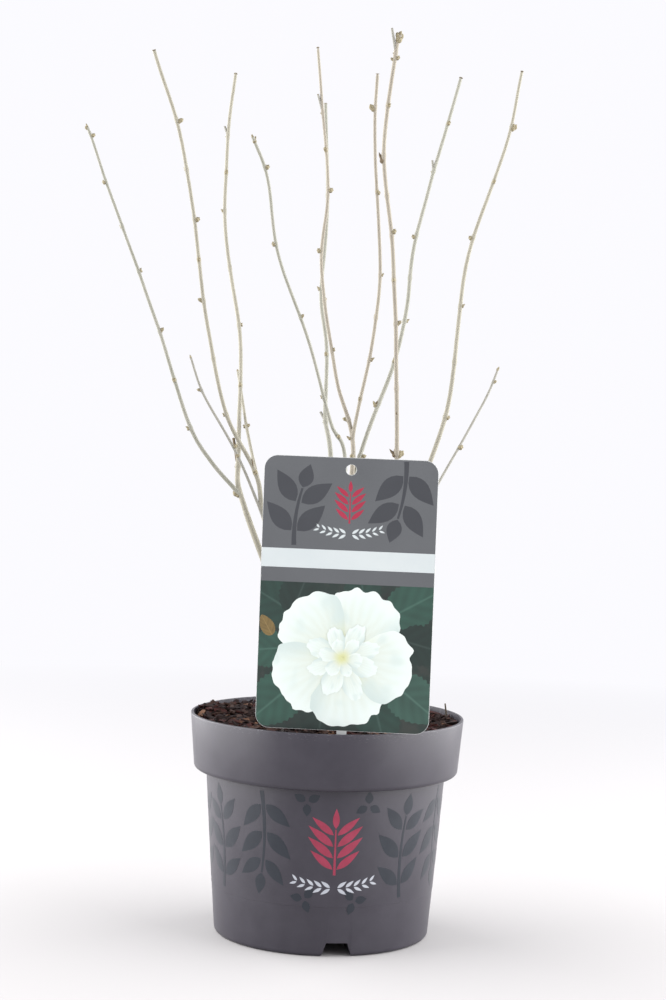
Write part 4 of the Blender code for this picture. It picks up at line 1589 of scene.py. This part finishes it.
class Limb:
    """A limb as a smooth line that rises all the way, with its width and its joints."""

    def __init__(self, stations: Outline, widths: Profile, joints: list[Joint]) -> None:
        """Draw the limb's line.

        Args:
            stations: Places on its line, from foot to tip.
            widths: (height, width) pairs, from foot to tip.
            joints: (height, side) pairs, where the side is the way that the bud faces.
        """
        self.line = smooth_line(stations)
        self.widths = widths
        self.joints = sorted(joints, key=lambda joint: joint[0])
        self.foot = stations[0].z
        self.tip = stations[-1].z

    def centre(self, height: float) -> Vector:
        """The line's place at a height, before the joints bend it."""
        for start, end in zip(self.line, self.line[1:]):
            if end.z >= height:
                return start.lerp(end, (height - start.z) / (end.z - start.z))
        return self.line[-1].copy()

    def place(self, height: float) -> Vector:
        """The limb's middle at a height: its line, drawn to the side of the nearest joint."""
        point = self.centre(height)
        for joint, side in self.joints:
            near = max(0.0, 1.0 - abs(height - joint) / (0.5 * GROWTH.joint_spacing))
            point += side * GROWTH.kink * near
        return point

    def direction(self, height: float) -> Vector:
        """The way the limb points at a height."""
        low = max(self.foot, height - GROWTH.step)
        high = min(self.tip, height + GROWTH.step)
        return (self.centre(high) - self.centre(low)).normalized()

    def radius(self, height: float) -> float:
        """Half the limb's width at a height, with no swelling."""
        for (low, wide), (high, narrow) in zip(self.widths, self.widths[1:]):
            if height <= high:
                part = max(0.0, (height - low) / (high - low))
                return 0.5 * (wide + part * (narrow - wide))
        return 0.5 * self.widths[-1][1]

    def swollen(self, height: float) -> float:
        """Half the limb's width at a height, swollen at its joints."""
        away = [(height - joint) / GROWTH.swell_length for joint, _ in self.joints]
        swell = sum(math.exp(-(part**2)) for part in away)
        return self.radius(height) * (1.0 + GROWTH.swell * min(1.0, swell))

    def heights(self, low: float, high: float) -> list[float]:
        """Heights of the fine tube's rings, closer together at the joints."""
        marks = [low]
        while marks[-1] < high - GROWTH.ring_step:
            near = min((abs(marks[-1] - joint) for joint, _ in self.joints), default=1.0)
            step = GROWTH.fine_step if near < GROWTH.fine_reach else GROWTH.ring_step
            marks.append(marks[-1] + step)
        return [*marks, high]

    def tube(self, name: str, low: float, high: float, tint: int, widen: float = 0.0) -> Item:
        """The limb between two heights as a closed tube with the relief of its bark.

        Args:
            name: The object's name.
            low: Height of its foot.
            high: Height of its end.
            tint: The material slot of its bark.
            widen: How much thicker its foot is, as a share, where it leaves another limb.

        Returns:
            The tube.
        """
        curve = bpy.data.curves.new(name, "CURVE")
        curve.dimensions = "3D"
        curve.bevel_depth = MM
        curve.bevel_resolution = GROWTH.sides // 2 - 2
        curve.use_fill_caps = True
        marks = self.heights(low, high)
        spline = curve.splines.new("POLY")
        spline.points.add(len(marks) - 1)
        for point, height in zip(spline.points, marks):
            point.co = (*self.place(height), 1.0)
            collar = 1.0 + widen * math.exp(-(((height - low) / GROWTH.collar) ** 2))
            point.radius = self.swollen(height) * collar / MM
        item = as_mesh(linked(name, curve))
        self.weather(item, low, high)
        for face in item.data.polygons:
            face.material_index = tint
        return item

    def weather(self, item: Item, low: float, high: float) -> None:
        """Raise ridges along the bark and wrinkles across it, but not at the tube's ends."""

        def relief(place: Vector) -> float:
            """How far the bark stands out at a place."""
            ends = smooth_step(0.0, 1.5 * MM, min(place.z - low, high - place.z))
            long = noise.noise(Vector((place.x, place.y, 0.12 * place.z)) / GROWTH.ridge_size)
            wide = noise.noise(place / GROWTH.knot_size)
            fine = noise.noise(place / GROWTH.grain_size)
            return self.radius(place.z) * ends * GROWTH.ridge * (long + 0.8 * wide + 0.35 * fine)

        push_out(item, relief)


def view_places(shoot: Shoot, first: Vector | None = None) -> list[Vector]:
    """The places where a shoot bends. Its depth goes evenly from foot to tip."""
    low = shoot.leaves_at or shoot.bends[0][1]
    high = shoot.bends[-1][1]
    start, end = shoot.depths
    if first:
        start = first.y / MM
    places = [first] if first else []
    for x, height in shoot.bends:
        depth = start + (end - start) * (height - low) / (high - low)
        places.append(Vector((x, depth, height)) * MM)
    return places


def joints_of(shoot: Shoot, low: float) -> list[Joint]:
    """Joints of a shoot above a height: one at each bud, and one more in each long stretch."""
    growths = (*shoot.buds, *(stub[0] for stub in shoot.stubs))
    sided = [(abs(growth), math.copysign(1.0, growth)) for growth in growths]
    joints = [(height * MM, RIGHT * side) for height, side in sided]
    marks = sorted([low, *(height for height, _ in joints), shoot.bends[-1][1] * MM])
    facing = -1.0
    for start, end in zip(marks, marks[1:]):
        if end - start > GROWTH.joint_spacing:
            joints.append((0.5 * (start + end), BACK * facing))
            facing = -facing
    return joints


def leader_limb(stem: Stem) -> Limb:
    """The line of a main stem, from inside the trunk through its arm to the leader's tip."""
    out = heading(math.radians(stem.bearing)).to_3d()
    heart = GROWTH.trunk_lean + UP * GROWTH.arm_foot + out * (0.35 * GROWTH.arm_reach)
    bend = GROWTH.trunk_lean + UP * GROWTH.arm_bend + out * GROWTH.arm_reach
    stations = [heart, bend, *view_places(stem.leader)]
    first = stem.leader.bends[0][1] * MM
    tip = stations[-1].z
    wide, narrow = stem.leader.widths
    widths = [
        (GROWTH.arm_foot, stem.arm_width * MM),
        (first, wide * MM),
        (first + GROWTH.waist * (tip - first), 0.5 * (wide + narrow) * GROWTH.waist_width * MM),
        (tip, narrow * MM),
    ]
    return Limb(stations, widths, joints_of(stem.leader, first))


def branch_limb(shoot: Shoot, parent: Limb) -> Limb:
    """The line of a side shoot, from the middle of the stem that it branches from."""
    low = shoot.leaves_at * MM
    stations = view_places(shoot, parent.place(low))
    widths = [(low, shoot.widths[0] * MM), (stations[-1].z, shoot.widths[1] * MM)]
    return Limb(stations, widths, joints_of(shoot, low))


class Bud(Enum):
    """The kinds of growth at a joint, as lobes: middle, half sizes, lean in degrees and pinch."""

    KNUCKLE = (
        ((0.0, 0.0, 0.2), (1.0, 1.15, 0.75), (0.0, 0.0), 0.0),
        ((0.0, -0.75, 0.35), (0.85, 0.5, 0.55), (-20.0, 0.0), 0.0),
        ((0.0, 0.25, 1.0), (0.55, 0.5, 1.0), (-10.0, 0.0), 0.75),
        ((0.5, 0.2, 0.8), (0.4, 0.36, 0.85), (-12.0, 28.0), 0.75),
        ((-0.5, 0.2, 0.75), (0.4, 0.36, 0.85), (-12.0, -30.0), 0.75),
    )
    BALL = (
        ((0.0, 0.0, 0.1), (0.95, 1.0, 0.7), (0.0, 0.0), 0.0),
        ((0.0, 0.1, 1.15), (1.05, 0.98, 1.1), (0.0, 0.0), 0.15),
        ((0.15, 0.1, 2.1), (0.4, 0.4, 0.45), (0.0, 10.0), 0.5),
    )
    POINTED = (
        ((0.0, 0.0, 0.15), (0.9, 1.0, 0.65), (0.0, 0.0), 0.0),
        ((0.0, 0.15, 1.05), (0.62, 0.55, 1.35), (-8.0, 0.0), 0.8),
        ((0.0, -0.6, 0.4), (0.7, 0.4, 0.5), (-18.0, 0.0), 0.0),
    )
    FORK = (
        ((0.0, 0.0, 0.1), (0.9, 0.85, 0.9), (0.0, 0.0), 0.0),
        ((-0.45, 0.0, 1.6), (0.48, 0.45, 1.6), (0.0, -14.0), 0.6),
        ((0.55, 0.1, 1.3), (0.42, 0.4, 1.25), (0.0, 22.0), 0.6),
    )
    TUFT = (
        ((0.0, 0.0, 0.3), (0.95, 0.9, 1.0), (0.0, 0.0), 0.0),
        ((0.6, 0.1, 1.2), (0.6, 0.55, 0.9), (0.0, 20.0), 0.2),
        ((-0.5, -0.2, 1.4), (0.6, 0.5, 0.9), (0.0, -15.0), 0.2),
        ((0.1, 0.3, 2.0), (0.5, 0.5, 0.8), (-10.0, 5.0), 0.3),
    )
    STREAK = (((0.0, 0.0, 2.4), (0.42, 0.4, 3.0), (0.0, 0.0), 0.5),)


@dataclass(frozen=True)
class Knob:
    """A growth that stands out: its height and place to the right, kind, size and lean.

    It is in millimetres and degrees. front is how far it stands out to the front, as a share of the
    shoot's radius.
    """

    height: float
    side: float
    kind: Bud
    size: float
    lean: float = 0.0
    dark: bool = False
    front: float = 0.0


# By stem and shoot, which is 0 for the stem's leader, or the side shoot's number.
KNOBS = {
    ("left_outer", 1): (
        Knob(547.0, -0.6, Bud.BALL, 1.0, -40.0),
        Knob(542.5, 1.0, Bud.KNUCKLE, 1.4, 40.0),
        Knob(512.0, -1.0, Bud.KNUCKLE, 1.5, -40.0),
    ),
    ("left_outer", 0): (Knob(303.0, -1.5, Bud.BALL, 2.0, -60.0),),
    ("left_inner", 0): (
        Knob(551.5, 1.2, Bud.BALL, 1.5, 48.0),
        Knob(488.0, 1.2, Bud.KNUCKLE, 1.7, 42.0),
        Knob(324.0, 0.5, Bud.STREAK, 1.2, -12.0, True, 0.95),
    ),
    ("left_inner", 1): (Knob(351.0, 0.8, Bud.KNUCKLE, 1.3, 40.0),),
    ("left_inner", 2): (Knob(337.0, 1.0, Bud.KNUCKLE, 1.4, 45.0),),
    ("front", 0): (
        Knob(535.0, 0.0, Bud.FORK, 1.6, -14.0),
        Knob(519.0, 1.0, Bud.KNUCKLE, 1.6, 30.0),
        Knob(471.0, -1.0, Bud.KNUCKLE, 1.6, -34.0),
    ),
    ("centre", 0): (
        Knob(344.5, -1.6, Bud.POINTED, 1.5, -55.0),
        Knob(347.0, 0.9, Bud.STREAK, 1.2, 0.0, True, 0.8),
        Knob(475.0, -1.2, Bud.KNUCKLE, 1.7, -30.0),
        Knob(518.0, 1.2, Bud.KNUCKLE, 1.8, 40.0),
    ),
    ("centre", 1): (
        Knob(569.0, -1.0, Bud.BALL, 1.9, -38.0),
        Knob(513.0, 0.6, Bud.KNUCKLE, 1.4, 30.0),
    ),
    ("centre", 2): (
        Knob(368.0, -1.4, Bud.POINTED, 1.9, -28.0),
        Knob(369.5, -1.0, Bud.BALL, 0.9, 0.0, True, 0.5),
        Knob(489.0, -1.0, Bud.KNUCKLE, 1.6, -36.0),
    ),
    ("back", 0): (Knob(588.8, 0.0, Bud.BALL, 0.8, 0.0, True),),
    ("right", 0): (
        Knob(334.5, -1.6, Bud.FORK, 1.9, -24.0, True),
        Knob(334.0, 1.4, Bud.TUFT, 1.9, 34.0),
        Knob(363.0, -0.3, Bud.BALL, 0.6, 0.0, True, 0.9),
        Knob(485.0, 1.2, Bud.KNUCKLE, 1.8, 26.0),
        Knob(532.0, -1.1, Bud.FORK, 2.1, -8.0, True),
        Knob(599.0, 1.2, Bud.KNUCKLE, 1.6, 40.0),
        Knob(598.0, -1.0, Bud.BALL, 1.0, -50.0),
        Knob(610.5, 0.4, Bud.TUFT, 2.5, 6.0),
    ),
    ("right", 1): (
        Knob(361.0, 1.3, Bud.KNUCKLE, 1.6, 44.0),
        Knob(486.0, -1.0, Bud.KNUCKLE, 1.6, -40.0),
        Knob(563.0, 0.8, Bud.TUFT, 1.9, 40.0),
        Knob(601.5, 0.0, Bud.BALL, 0.75, 0.0, True),
    ),
    ("right", 2): (
        Knob(340.0, 0.8, Bud.KNUCKLE, 1.9, 46.0),
        Knob(387.5, 0.6, Bud.BALL, 1.1, 50.0),
        Knob(396.0, 0.0, Bud.TUFT, 0.9, 12.0),
    ),
}


@dataclass
class Shrub:
    """The shrub: a short woody base, six boughs, and the bare shoots that go on from them."""

    base_height: float = 27.0 * MM
    base_radius: float = 8.0 * MM
    flare_radius: float = 12.5 * MM
    flare_height: float = 10.0 * MM
    foot: float = 147.8 * MM + GAP
    base_voxel: float = 0.42 * MM
    furrow: float = 0.38 * MM
    knot: float = 0.5 * MM
    bough_foot: float = 2.5 * MM
    tuck: float = 1.6 * MM
    crotch: float = 5.5 * MM
    crease: float = 62.0
    bud_sizes: Span = (1.15, 1.55)
    bud_rise: float = 35.0
    bud_turn: float = 25.0
    bud_voxel: float = 0.2 * MM
    end_bud: float = 0.9
    bare: float = 2 * MM
    knob_reach: float = 5 * MM
    dead_length: float = 18.0 * MM

    def base_profile(self) -> Profile:
        """Outline of the woody base: a domed top, a taper and a flare down to its flat cut."""
        top = self.foot + self.base_height
        radius = self.base_radius
        angles = (0.35, 0.7, 1.05, 1.4)
        dome = [(radius * math.sin(a), top - 0.5 * radius * (1 - math.cos(a))) for a in angles]
        spread = self.flare_radius - radius
        parts = [i / 16 for i in range(17)]
        flare = [(radius + spread * t**2, self.foot + self.flare_height * (1 - t)) for t in parts]
        return [(0.0, top), *dome, *flare, (0.0, self.foot)]

    def base(self, leaders: dict[str, Limb]) -> Item:
        """The woody base with its arms, fused, lobed at its flare and furrowed."""
        base = turned("woody_base", self.base_profile(), 64)
        for vertex in base.data.vertices:
            rise = (vertex.co.z - self.foot) / self.base_height
            flare = max(0.0, 1.0 - (vertex.co.z - self.foot) / self.flare_height)
            lobe = 1.0 + 0.10 * flare * math.cos(5.0 * math.atan2(vertex.co.y, vertex.co.x))
            vertex.co.x = vertex.co.x * lobe + GROWTH.trunk_lean.x * rise
            vertex.co.y = vertex.co.y * lobe + GROWTH.trunk_lean.y * rise
        end = GROWTH.arm_end
        arms = [limb.tube("arm", GROWTH.arm_foot, end, 0) for limb in leaders.values()]
        base = joined("woody_base", [base, *arms])
        modify(base, "REMESH", mode="VOXEL", voxel_size=self.base_voxel)
        modify(base, "SMOOTH", factor=0.5, iterations=4)

        def relief(place: Vector) -> float:
            """How far the old bark stands out at a place."""
            low = smooth_step(0.0, 1.0 * MM, place.z - self.foot)
            high = smooth_step(0.0, 3.0 * MM, end - place.z)
            furrow = noise.noise(Vector((place.x, place.y, 0.22 * place.z)) / (1.6 * MM))
            knot = noise.noise(place / (4.5 * MM))
            return low * high * (self.furrow * furrow + self.knot * knot)

        push_out(base, relief)
        return base

    def wood(self, leaders: dict[str, Limb]) -> None:
        """The base and the boughs as one piece, in old bark that pales up the boughs."""
        finishes = [OLD_BARK, *BARKS]
        pieces = [dress(self.base(leaders), finishes)]
        for name, limb in leaders.items():
            leader = STEMS[name].leader
            end = leader.bends[0][1] * MM
            low = GROWTH.arm_end - self.bough_foot
            bough = limb.tube("bough", low, end + self.tuck, 1 + list(Tint).index(leader.tint))
            for vertex in bough.data.vertices:
                if vertex.co.z > end:
                    vertex.co = vertex.co.lerp(limb.place(vertex.co.z), 0.15)
            pieces.append(dress(bough, finishes))
        nodes = ["trunk", *("bough_" + name for name in leaders)]
        hand_in(shade(joined("woody_base", pieces), self.crease), finishes, "old_bark", *nodes)

    def fused(self, name: str, tubes: list[Item], forks: list[Vector]) -> Item:
        """A leader and its side shoots as one skin, eased in the crotch of each fork.

        Args:
            name: The skin's name.
            tubes: The leader's tube and then its side shoots'.
            forks: Where they part.

        Returns:
            The skin.
        """
        item, *sides = [dress(tube, BARKS) for tube in tubes]
        for tube in sides:
            carve(item, tube, "UNION", "MANIFOLD")
        item.name = name
        for vertex in item.data.vertices:
            vertex.select = any((vertex.co - fork).length < self.crotch for fork in forks)
        if forks:
            with editing(item, False):
                bpy.ops.mesh.select_mode(type="VERT")
                bpy.ops.mesh.vertices_smooth(factor=0.5, repeat=5)
        return item

    def bud_shape(self, kind: Bud) -> Item:
        """A bud of a kind, its lobes fused, round the origin with its foot down."""
        lobes = []
        for middle, sizes, (pitch, yaw), pinch in kind.value:
            lobe = basic("uv_sphere", segments=14, ring_count=10, radius=1.0)
            for vertex in lobe.data.vertices:
                narrow = 1.0 - pinch * max(0.0, vertex.co.z) ** 1.5
                vertex.co.x *= narrow
                vertex.co.y *= narrow
            turn = turn_by(math.radians(pitch), math.radians(yaw), 0.0)
            lobe.data.transform(Matrix.Translation(middle) @ turn @ Matrix.Diagonal((*sizes, 1.0)))
            lobe.data.transform(Matrix.Scale(MM, 4))
            lobes.append(lobe)
        bud = joined("bud_" + kind.name.lower(), lobes)
        modify(bud, "REMESH", mode="VOXEL", voxel_size=self.bud_voxel)
        modify(bud, "SMOOTH", factor=0.5, iterations=2)
        return shade(bud)

    def set_knobs(self, limb: Limb, knobs: Sequence[Knob]) -> None:
        """Note where a shoot's knobs go."""
        for knob in knobs:
            height = knob.height * MM
            side = Vector((knob.side * MM, -knob.front * limb.radius(height), 0.0))
            lean = math.radians(knob.lean)
            way = Vector((math.sin(lean), 0.0, math.cos(lean)))
            place = self.stand(limb.place(height) + side, way, BACK, knob.size)
            (self.scars if knob.dark else self.buds).append((knob.kind, place))

    def grow(
        self, limb: Limb, shoot: Shoot, low: float, knobs: Sequence[Knob], dice: random.Random
    ) -> None:
        """Note where a shoot's knobs, buds, stubs, cut face and end bud go.

        Args:
            limb: The shoot's line.
            shoot: The shoot.
            low: The height under which it stays bare.
            knobs: Its growths that stand out.
            dice: Where its buds' kinds, turns and sizes come from.
        """
        self.set_knobs(limb, knobs)
        stubs = {abs(height) * MM: (length * MM, rise) for height, length, rise in shoot.stubs}
        for height, side in limb.joints:
            near = [k for k in knobs if abs(height - k.height * MM) < self.knob_reach]
            taken = any(knob.side * side.x > 0 for knob in near)
            if height < low + self.bare or (taken and height not in stubs):
                continue
            up = limb.direction(height)
            turn = math.radians(dice.uniform(-self.bud_turn, self.bud_turn))
            out = Matrix.Rotation(turn, 3, up) @ side
            out = (out - up * out.dot(up)).normalized()
            if height in stubs:
                self.stub(limb, height, out, *stubs[height])
                continue
            rise = math.radians(self.bud_rise)
            way = out * math.cos(rise) + up * math.sin(rise)
            kind = dice.choice((Bud.KNUCKLE, Bud.KNUCKLE, Bud.POINTED, Bud.BALL))
            radius = limb.radius(height)
            size = dice.uniform(*self.bud_sizes) * (0.62 + 0.28 * radius / MM)
            foot = limb.place(height) + out * 0.72 * radius
            self.buds.append((kind, self.stand(foot, way, up, size)))
        self.finish_tip(limb, shoot)

    def stand(self, foot: Vector, way: Vector, up: Vector, size: float) -> Matrix:
        """A place for a bud: its foot, the way it points, its back to the shoot, and its size."""
        across = up.cross(way).normalized() if abs(up.dot(way)) < 0.999 else RIGHT
        back = way.cross(across).normalized()
        return posed(foot, (back.cross(way), back, way), size)

    def stub(self, limb: Limb, height: float, out: Vector, length: float, rise: float) -> None:
        """A short pruned twig at a joint, with its cut face and a small bud beside its foot.

        Args:
            limb: The shoot's line.
            height: Height of the joint.
            out: The level way that the joint faces.
            length: The twig's length.
            rise: Its rise from that way, in degrees.
        """
        up = limb.direction(height)
        way = out * math.cos(math.radians(rise)) + up * math.sin(math.radians(rise))
        foot = limb.place(height)
        radius = limb.radius(height)
        thick = 0.5 * MM + 0.35 * radius
        twigs = self.dead if length > self.dead_length else self.stubs
        twigs.append(self.peg(foot, way, length, thick))
        self.cuts.append((foot + way * length, way, 0.8 * thick))
        place = foot + out * 0.8 * radius - up * 0.8 * MM
        self.buds.append((Bud.KNUCKLE, self.stand(place, out, up, 0.62)))

    def peg(self, foot: Vector, way: Vector, length: float, thick: float) -> Item:
        """A slim tapered twig, a little crooked.

        Args:
            foot: Where it starts.
            way: The way it points.
            length: Its length.
            thick: Half its width at its foot.

        Returns:
            The twig.
        """
        peg = basic("cone", vertices=14, radius1=thick, radius2=0.85 * thick, depth=length)
        for i in range(1, 8):
            bisect(peg, UP * length * (i / 8 - 0.5), UP)
        peg.data.transform(Matrix.Translation(foot + 0.5 * length * way) @ aimed(way))
        push_out(peg, lambda place: 0.10 * MM * noise.noise(place / (1.2 * MM)))
        return peg

    def cut_face(self, place: Vector, way: Vector, radius: float) -> Item:
        """The cut end of a shoot: a thin disc with a ring of bark and a sunk pith.

        Args:
            place: The middle of the cut.
            way: The way it faces.
            radius: Half the shoot's width.

        Returns:
            The disc.
        """
        disc = basic("cylinder", vertices=24, radius=1.02 * radius, depth=0.5 * MM)
        with top_faces(disc):
            for inset, sink in ((0.12, 0.0), (0.03, -0.06), (0.30, 0.02), (0.04, -0.14)):
                bpy.ops.mesh.inset(thickness=inset * radius, depth=0.0)
                bpy.ops.transform.translate(value=(0.0, 0.0, sink * MM))
        disc.data.transform(Matrix.Translation(place - 0.1 * MM * way) @ aimed(way))
        return disc

    def finish_tip(self, limb: Limb, shoot: Shoot) -> None:
        """End a shoot in its cut face or its end bud."""
        way = limb.direction(limb.tip)
        tip = limb.place(limb.tip)
        radius = limb.radius(limb.tip)
        if shoot.tip is Tip.CUT:
            self.cuts.append((tip, way, radius))
            return
        size = self.end_bud * (0.6 + 0.5 * radius / MM)
        across = (RIGHT - way * RIGHT.dot(way)).normalized()
        place = posed(tip - 0.3 * MM * way, (across, way.cross(across), way), size)
        self.buds.append((Bud.POINTED, place))

    def mass(self, name: str, stem: Stem, leader: Limb, dice: random.Random) -> None:
        """One mass of bare shoots: the leader above its bough and its side shoots, as one skin.

        Args:
            name: The stem's name.
            stem: The stem.
            leader: The leader's line.
            dice: Where the buds' kinds, turns and sizes come from.
        """
        low = stem.leader.bends[0][1] * MM
        tints = list(Tint)
        tubes = [leader.tube("shoots_" + name, low, leader.tip, tints.index(stem.leader.tint))]
        self.grow(leader, stem.leader, low, KNOBS.get((name, 0), ()), dice)
        forks = []
        for number, shoot in enumerate(stem.branches, 1):
            limb = branch_limb(shoot, leader)
            tubes.append(limb.tube("side", limb.foot, limb.tip, tints.index(shoot.tint), 0.25))
            forks += self.fork_places(leader, limb)
            self.grow(limb, shoot, limb.foot + self.knob_reach, KNOBS.get((name, number), ()), dice)
        item = shade(self.fused("shoots_" + name, tubes, forks), self.crease)
        hand_in(item, BARKS, "twigs", "twigs_" + name)

    def fork_places(self, leader: Limb, limb: Limb) -> list[Vector]:
        """Where the skins of a leader and a side shoot part."""
        height = limb.foot
        while height < limb.tip:
            apart = (limb.place(height) - leader.place(height)).length
            if apart > leader.radius(height) + limb.radius(height):
                return [0.5 * (limb.place(height) + leader.place(height))]
            height += 0.5 * MM
        return []

    def build(self) -> None:
        """Build and dress the base, the boughs, the shoots, and their buds, stubs and cuts."""
        self.buds: list[tuple[Bud, Matrix]] = []
        self.scars: list[tuple[Bud, Matrix]] = []
        self.stubs: list[Item] = []
        self.dead: list[Item] = []
        self.cuts: list[tuple[Vector, Vector, float]] = []
        dice = random.Random(SEED)
        leaders = {name: leader_limb(stem) for name, stem in STEMS.items()}
        self.wood(leaders)
        for name, limb in leaders.items():
            self.mass(name, STEMS[name], limb, dice)
        shapes = {kind: self.bud_shape(kind) for kind in Bud}
        growths = (("winter_buds", self.buds, BUD_FINISH), ("dark_knobs", self.scars, SCAR_FINISH))
        for name, places, finish in growths:
            copies = [copied(shapes[kind], place) for kind, place in places]
            hand_in(joined(name, copies), [finish], "twigs")
        for shape in shapes.values():
            bpy.data.objects.remove(shape)
        faces = [self.cut_face(*cut) for cut in self.cuts]
        ends = (
            ("pruned_stubs", self.stubs, 50.0, Tint.GREY.value),
            ("dead_twigs", self.dead, 50.0, SCAR_FINISH),
            ("cut_faces", faces, 40.0, CUT_FINISH),
        )
        for name, items, angle, finish in ends:
            hand_in(shade(joined(name, items), angle), [finish], "twigs")


# Studio


@dataclass
class Studio:
    """A pale floor, a white surround, a tall soft light panel on each side, and the camera."""

    surround: Colour = (0.97, 0.965, 1.0)
    floor_near: Colour = (0.41, 0.40, 0.40)
    floor_reach: float = 9.0
    floor_fade: Span = (0.25, 1.5)
    panel_size: Span = (2.2, 1.3)
    panel_place: float = 1.0
    lens: float = 77.74
    camera_place: Vector = Vector((0.0, -1.5, 0.3679))
    camera_turn: tuple[float, float, float] = (87.477, -1.857, 0.116)

    def world(self) -> None:
        """An even pale surround."""
        world = bpy.data.worlds.new("Surround")
        world.use_nodes = True
        board = world.node_tree.nodes["Background"]
        board.inputs["Color"].default_value = (*self.surround, 1.0)
        board.inputs["Strength"].default_value = 1.0
        bpy.context.scene.world = world
        bpy.context.scene.view_settings.view_transform = "Standard"

    def floor(self) -> None:
        """A round floor that turns as bright as the surround towards its edge."""
        floor = basic("circle", vertices=96, radius=self.floor_reach, fill_type="NGON")
        floor.name = "floor"
        board = NodeBoard("Pale floor")
        looks = {"Base Color": (*self.floor_near, 1.0), "Roughness": 0.7, "Specular IOR Level": 0.2}
        for name, value in looks.items():
            board.shader.inputs[name].default_value = value
        glow = board.add("ShaderNodeEmission", Color=(*self.surround, 1.0), Strength=1.0)
        source = board.add("ShaderNodeTexCoord")
        length = board.add("ShaderNodeVectorMath")
        length.operation = "LENGTH"
        board.link(source.outputs["Object"], length.inputs[0])
        far = board.map_range(length.outputs["Value"], *self.floor_fade)
        mix = board.add("ShaderNodeMixShader")
        board.link(far, mix.inputs["Fac"])
        board.link(board.shader.outputs["BSDF"], mix.inputs[1])
        board.link(glow.outputs["Emission"], mix.inputs[2])
        board.link(mix.outputs["Shader"], board.tree.nodes["Material Output"].inputs["Surface"])
        floor.data.materials.append(board.material)

    def light_panel(self, name: str, side: float, depth: float, power: float) -> None:
        """A large light panel that stands on the floor at one side and faces across it."""
        light = bpy.data.lights.new(name, "AREA")
        light.shape = "RECTANGLE"
        light.size, light.size_y = self.panel_size
        light.energy = power
        item = linked(name, light)
        item.location = (side * self.panel_place, depth, 0.5 * self.panel_size[1])
        item.rotation_euler = Vector((-side, 0.0, 0.0)).to_track_quat("-Z", "Y").to_euler()
        item.visible_camera = False

    def camera(self) -> None:
        """The camera, level with the shrub's middle and looking slightly down."""
        data = bpy.data.cameras.new("Camera")
        data.lens = self.lens
        data.clip_end = 50.0
        item = linked("Camera", data)
        item.location = self.camera_place
        item.rotation_euler = [math.radians(angle) for angle in self.camera_turn]
        bpy.context.scene.camera = item

    def build(self) -> None:
        """Set up the studio."""
        self.world()
        self.floor()
        self.light_panel("Left panel", -1.0, 0.30, 48.0)
        self.light_panel("Right panel", 1.0, 0.0, 45.0)
        self.camera()


def main() -> None:
    """Build the studio and then the object, from its pot up to its shoots."""
    logging.basicConfig(level=logging.INFO, format="%(name)s: %(message)s")
    Studio().build()
    pot = Pot()
    card = LabelCard()
    for part in (pot, PotPrint(pot), Soil(pot, card), card, Shrub()):
        part.build()


if __name__ == "__main__":
    main()
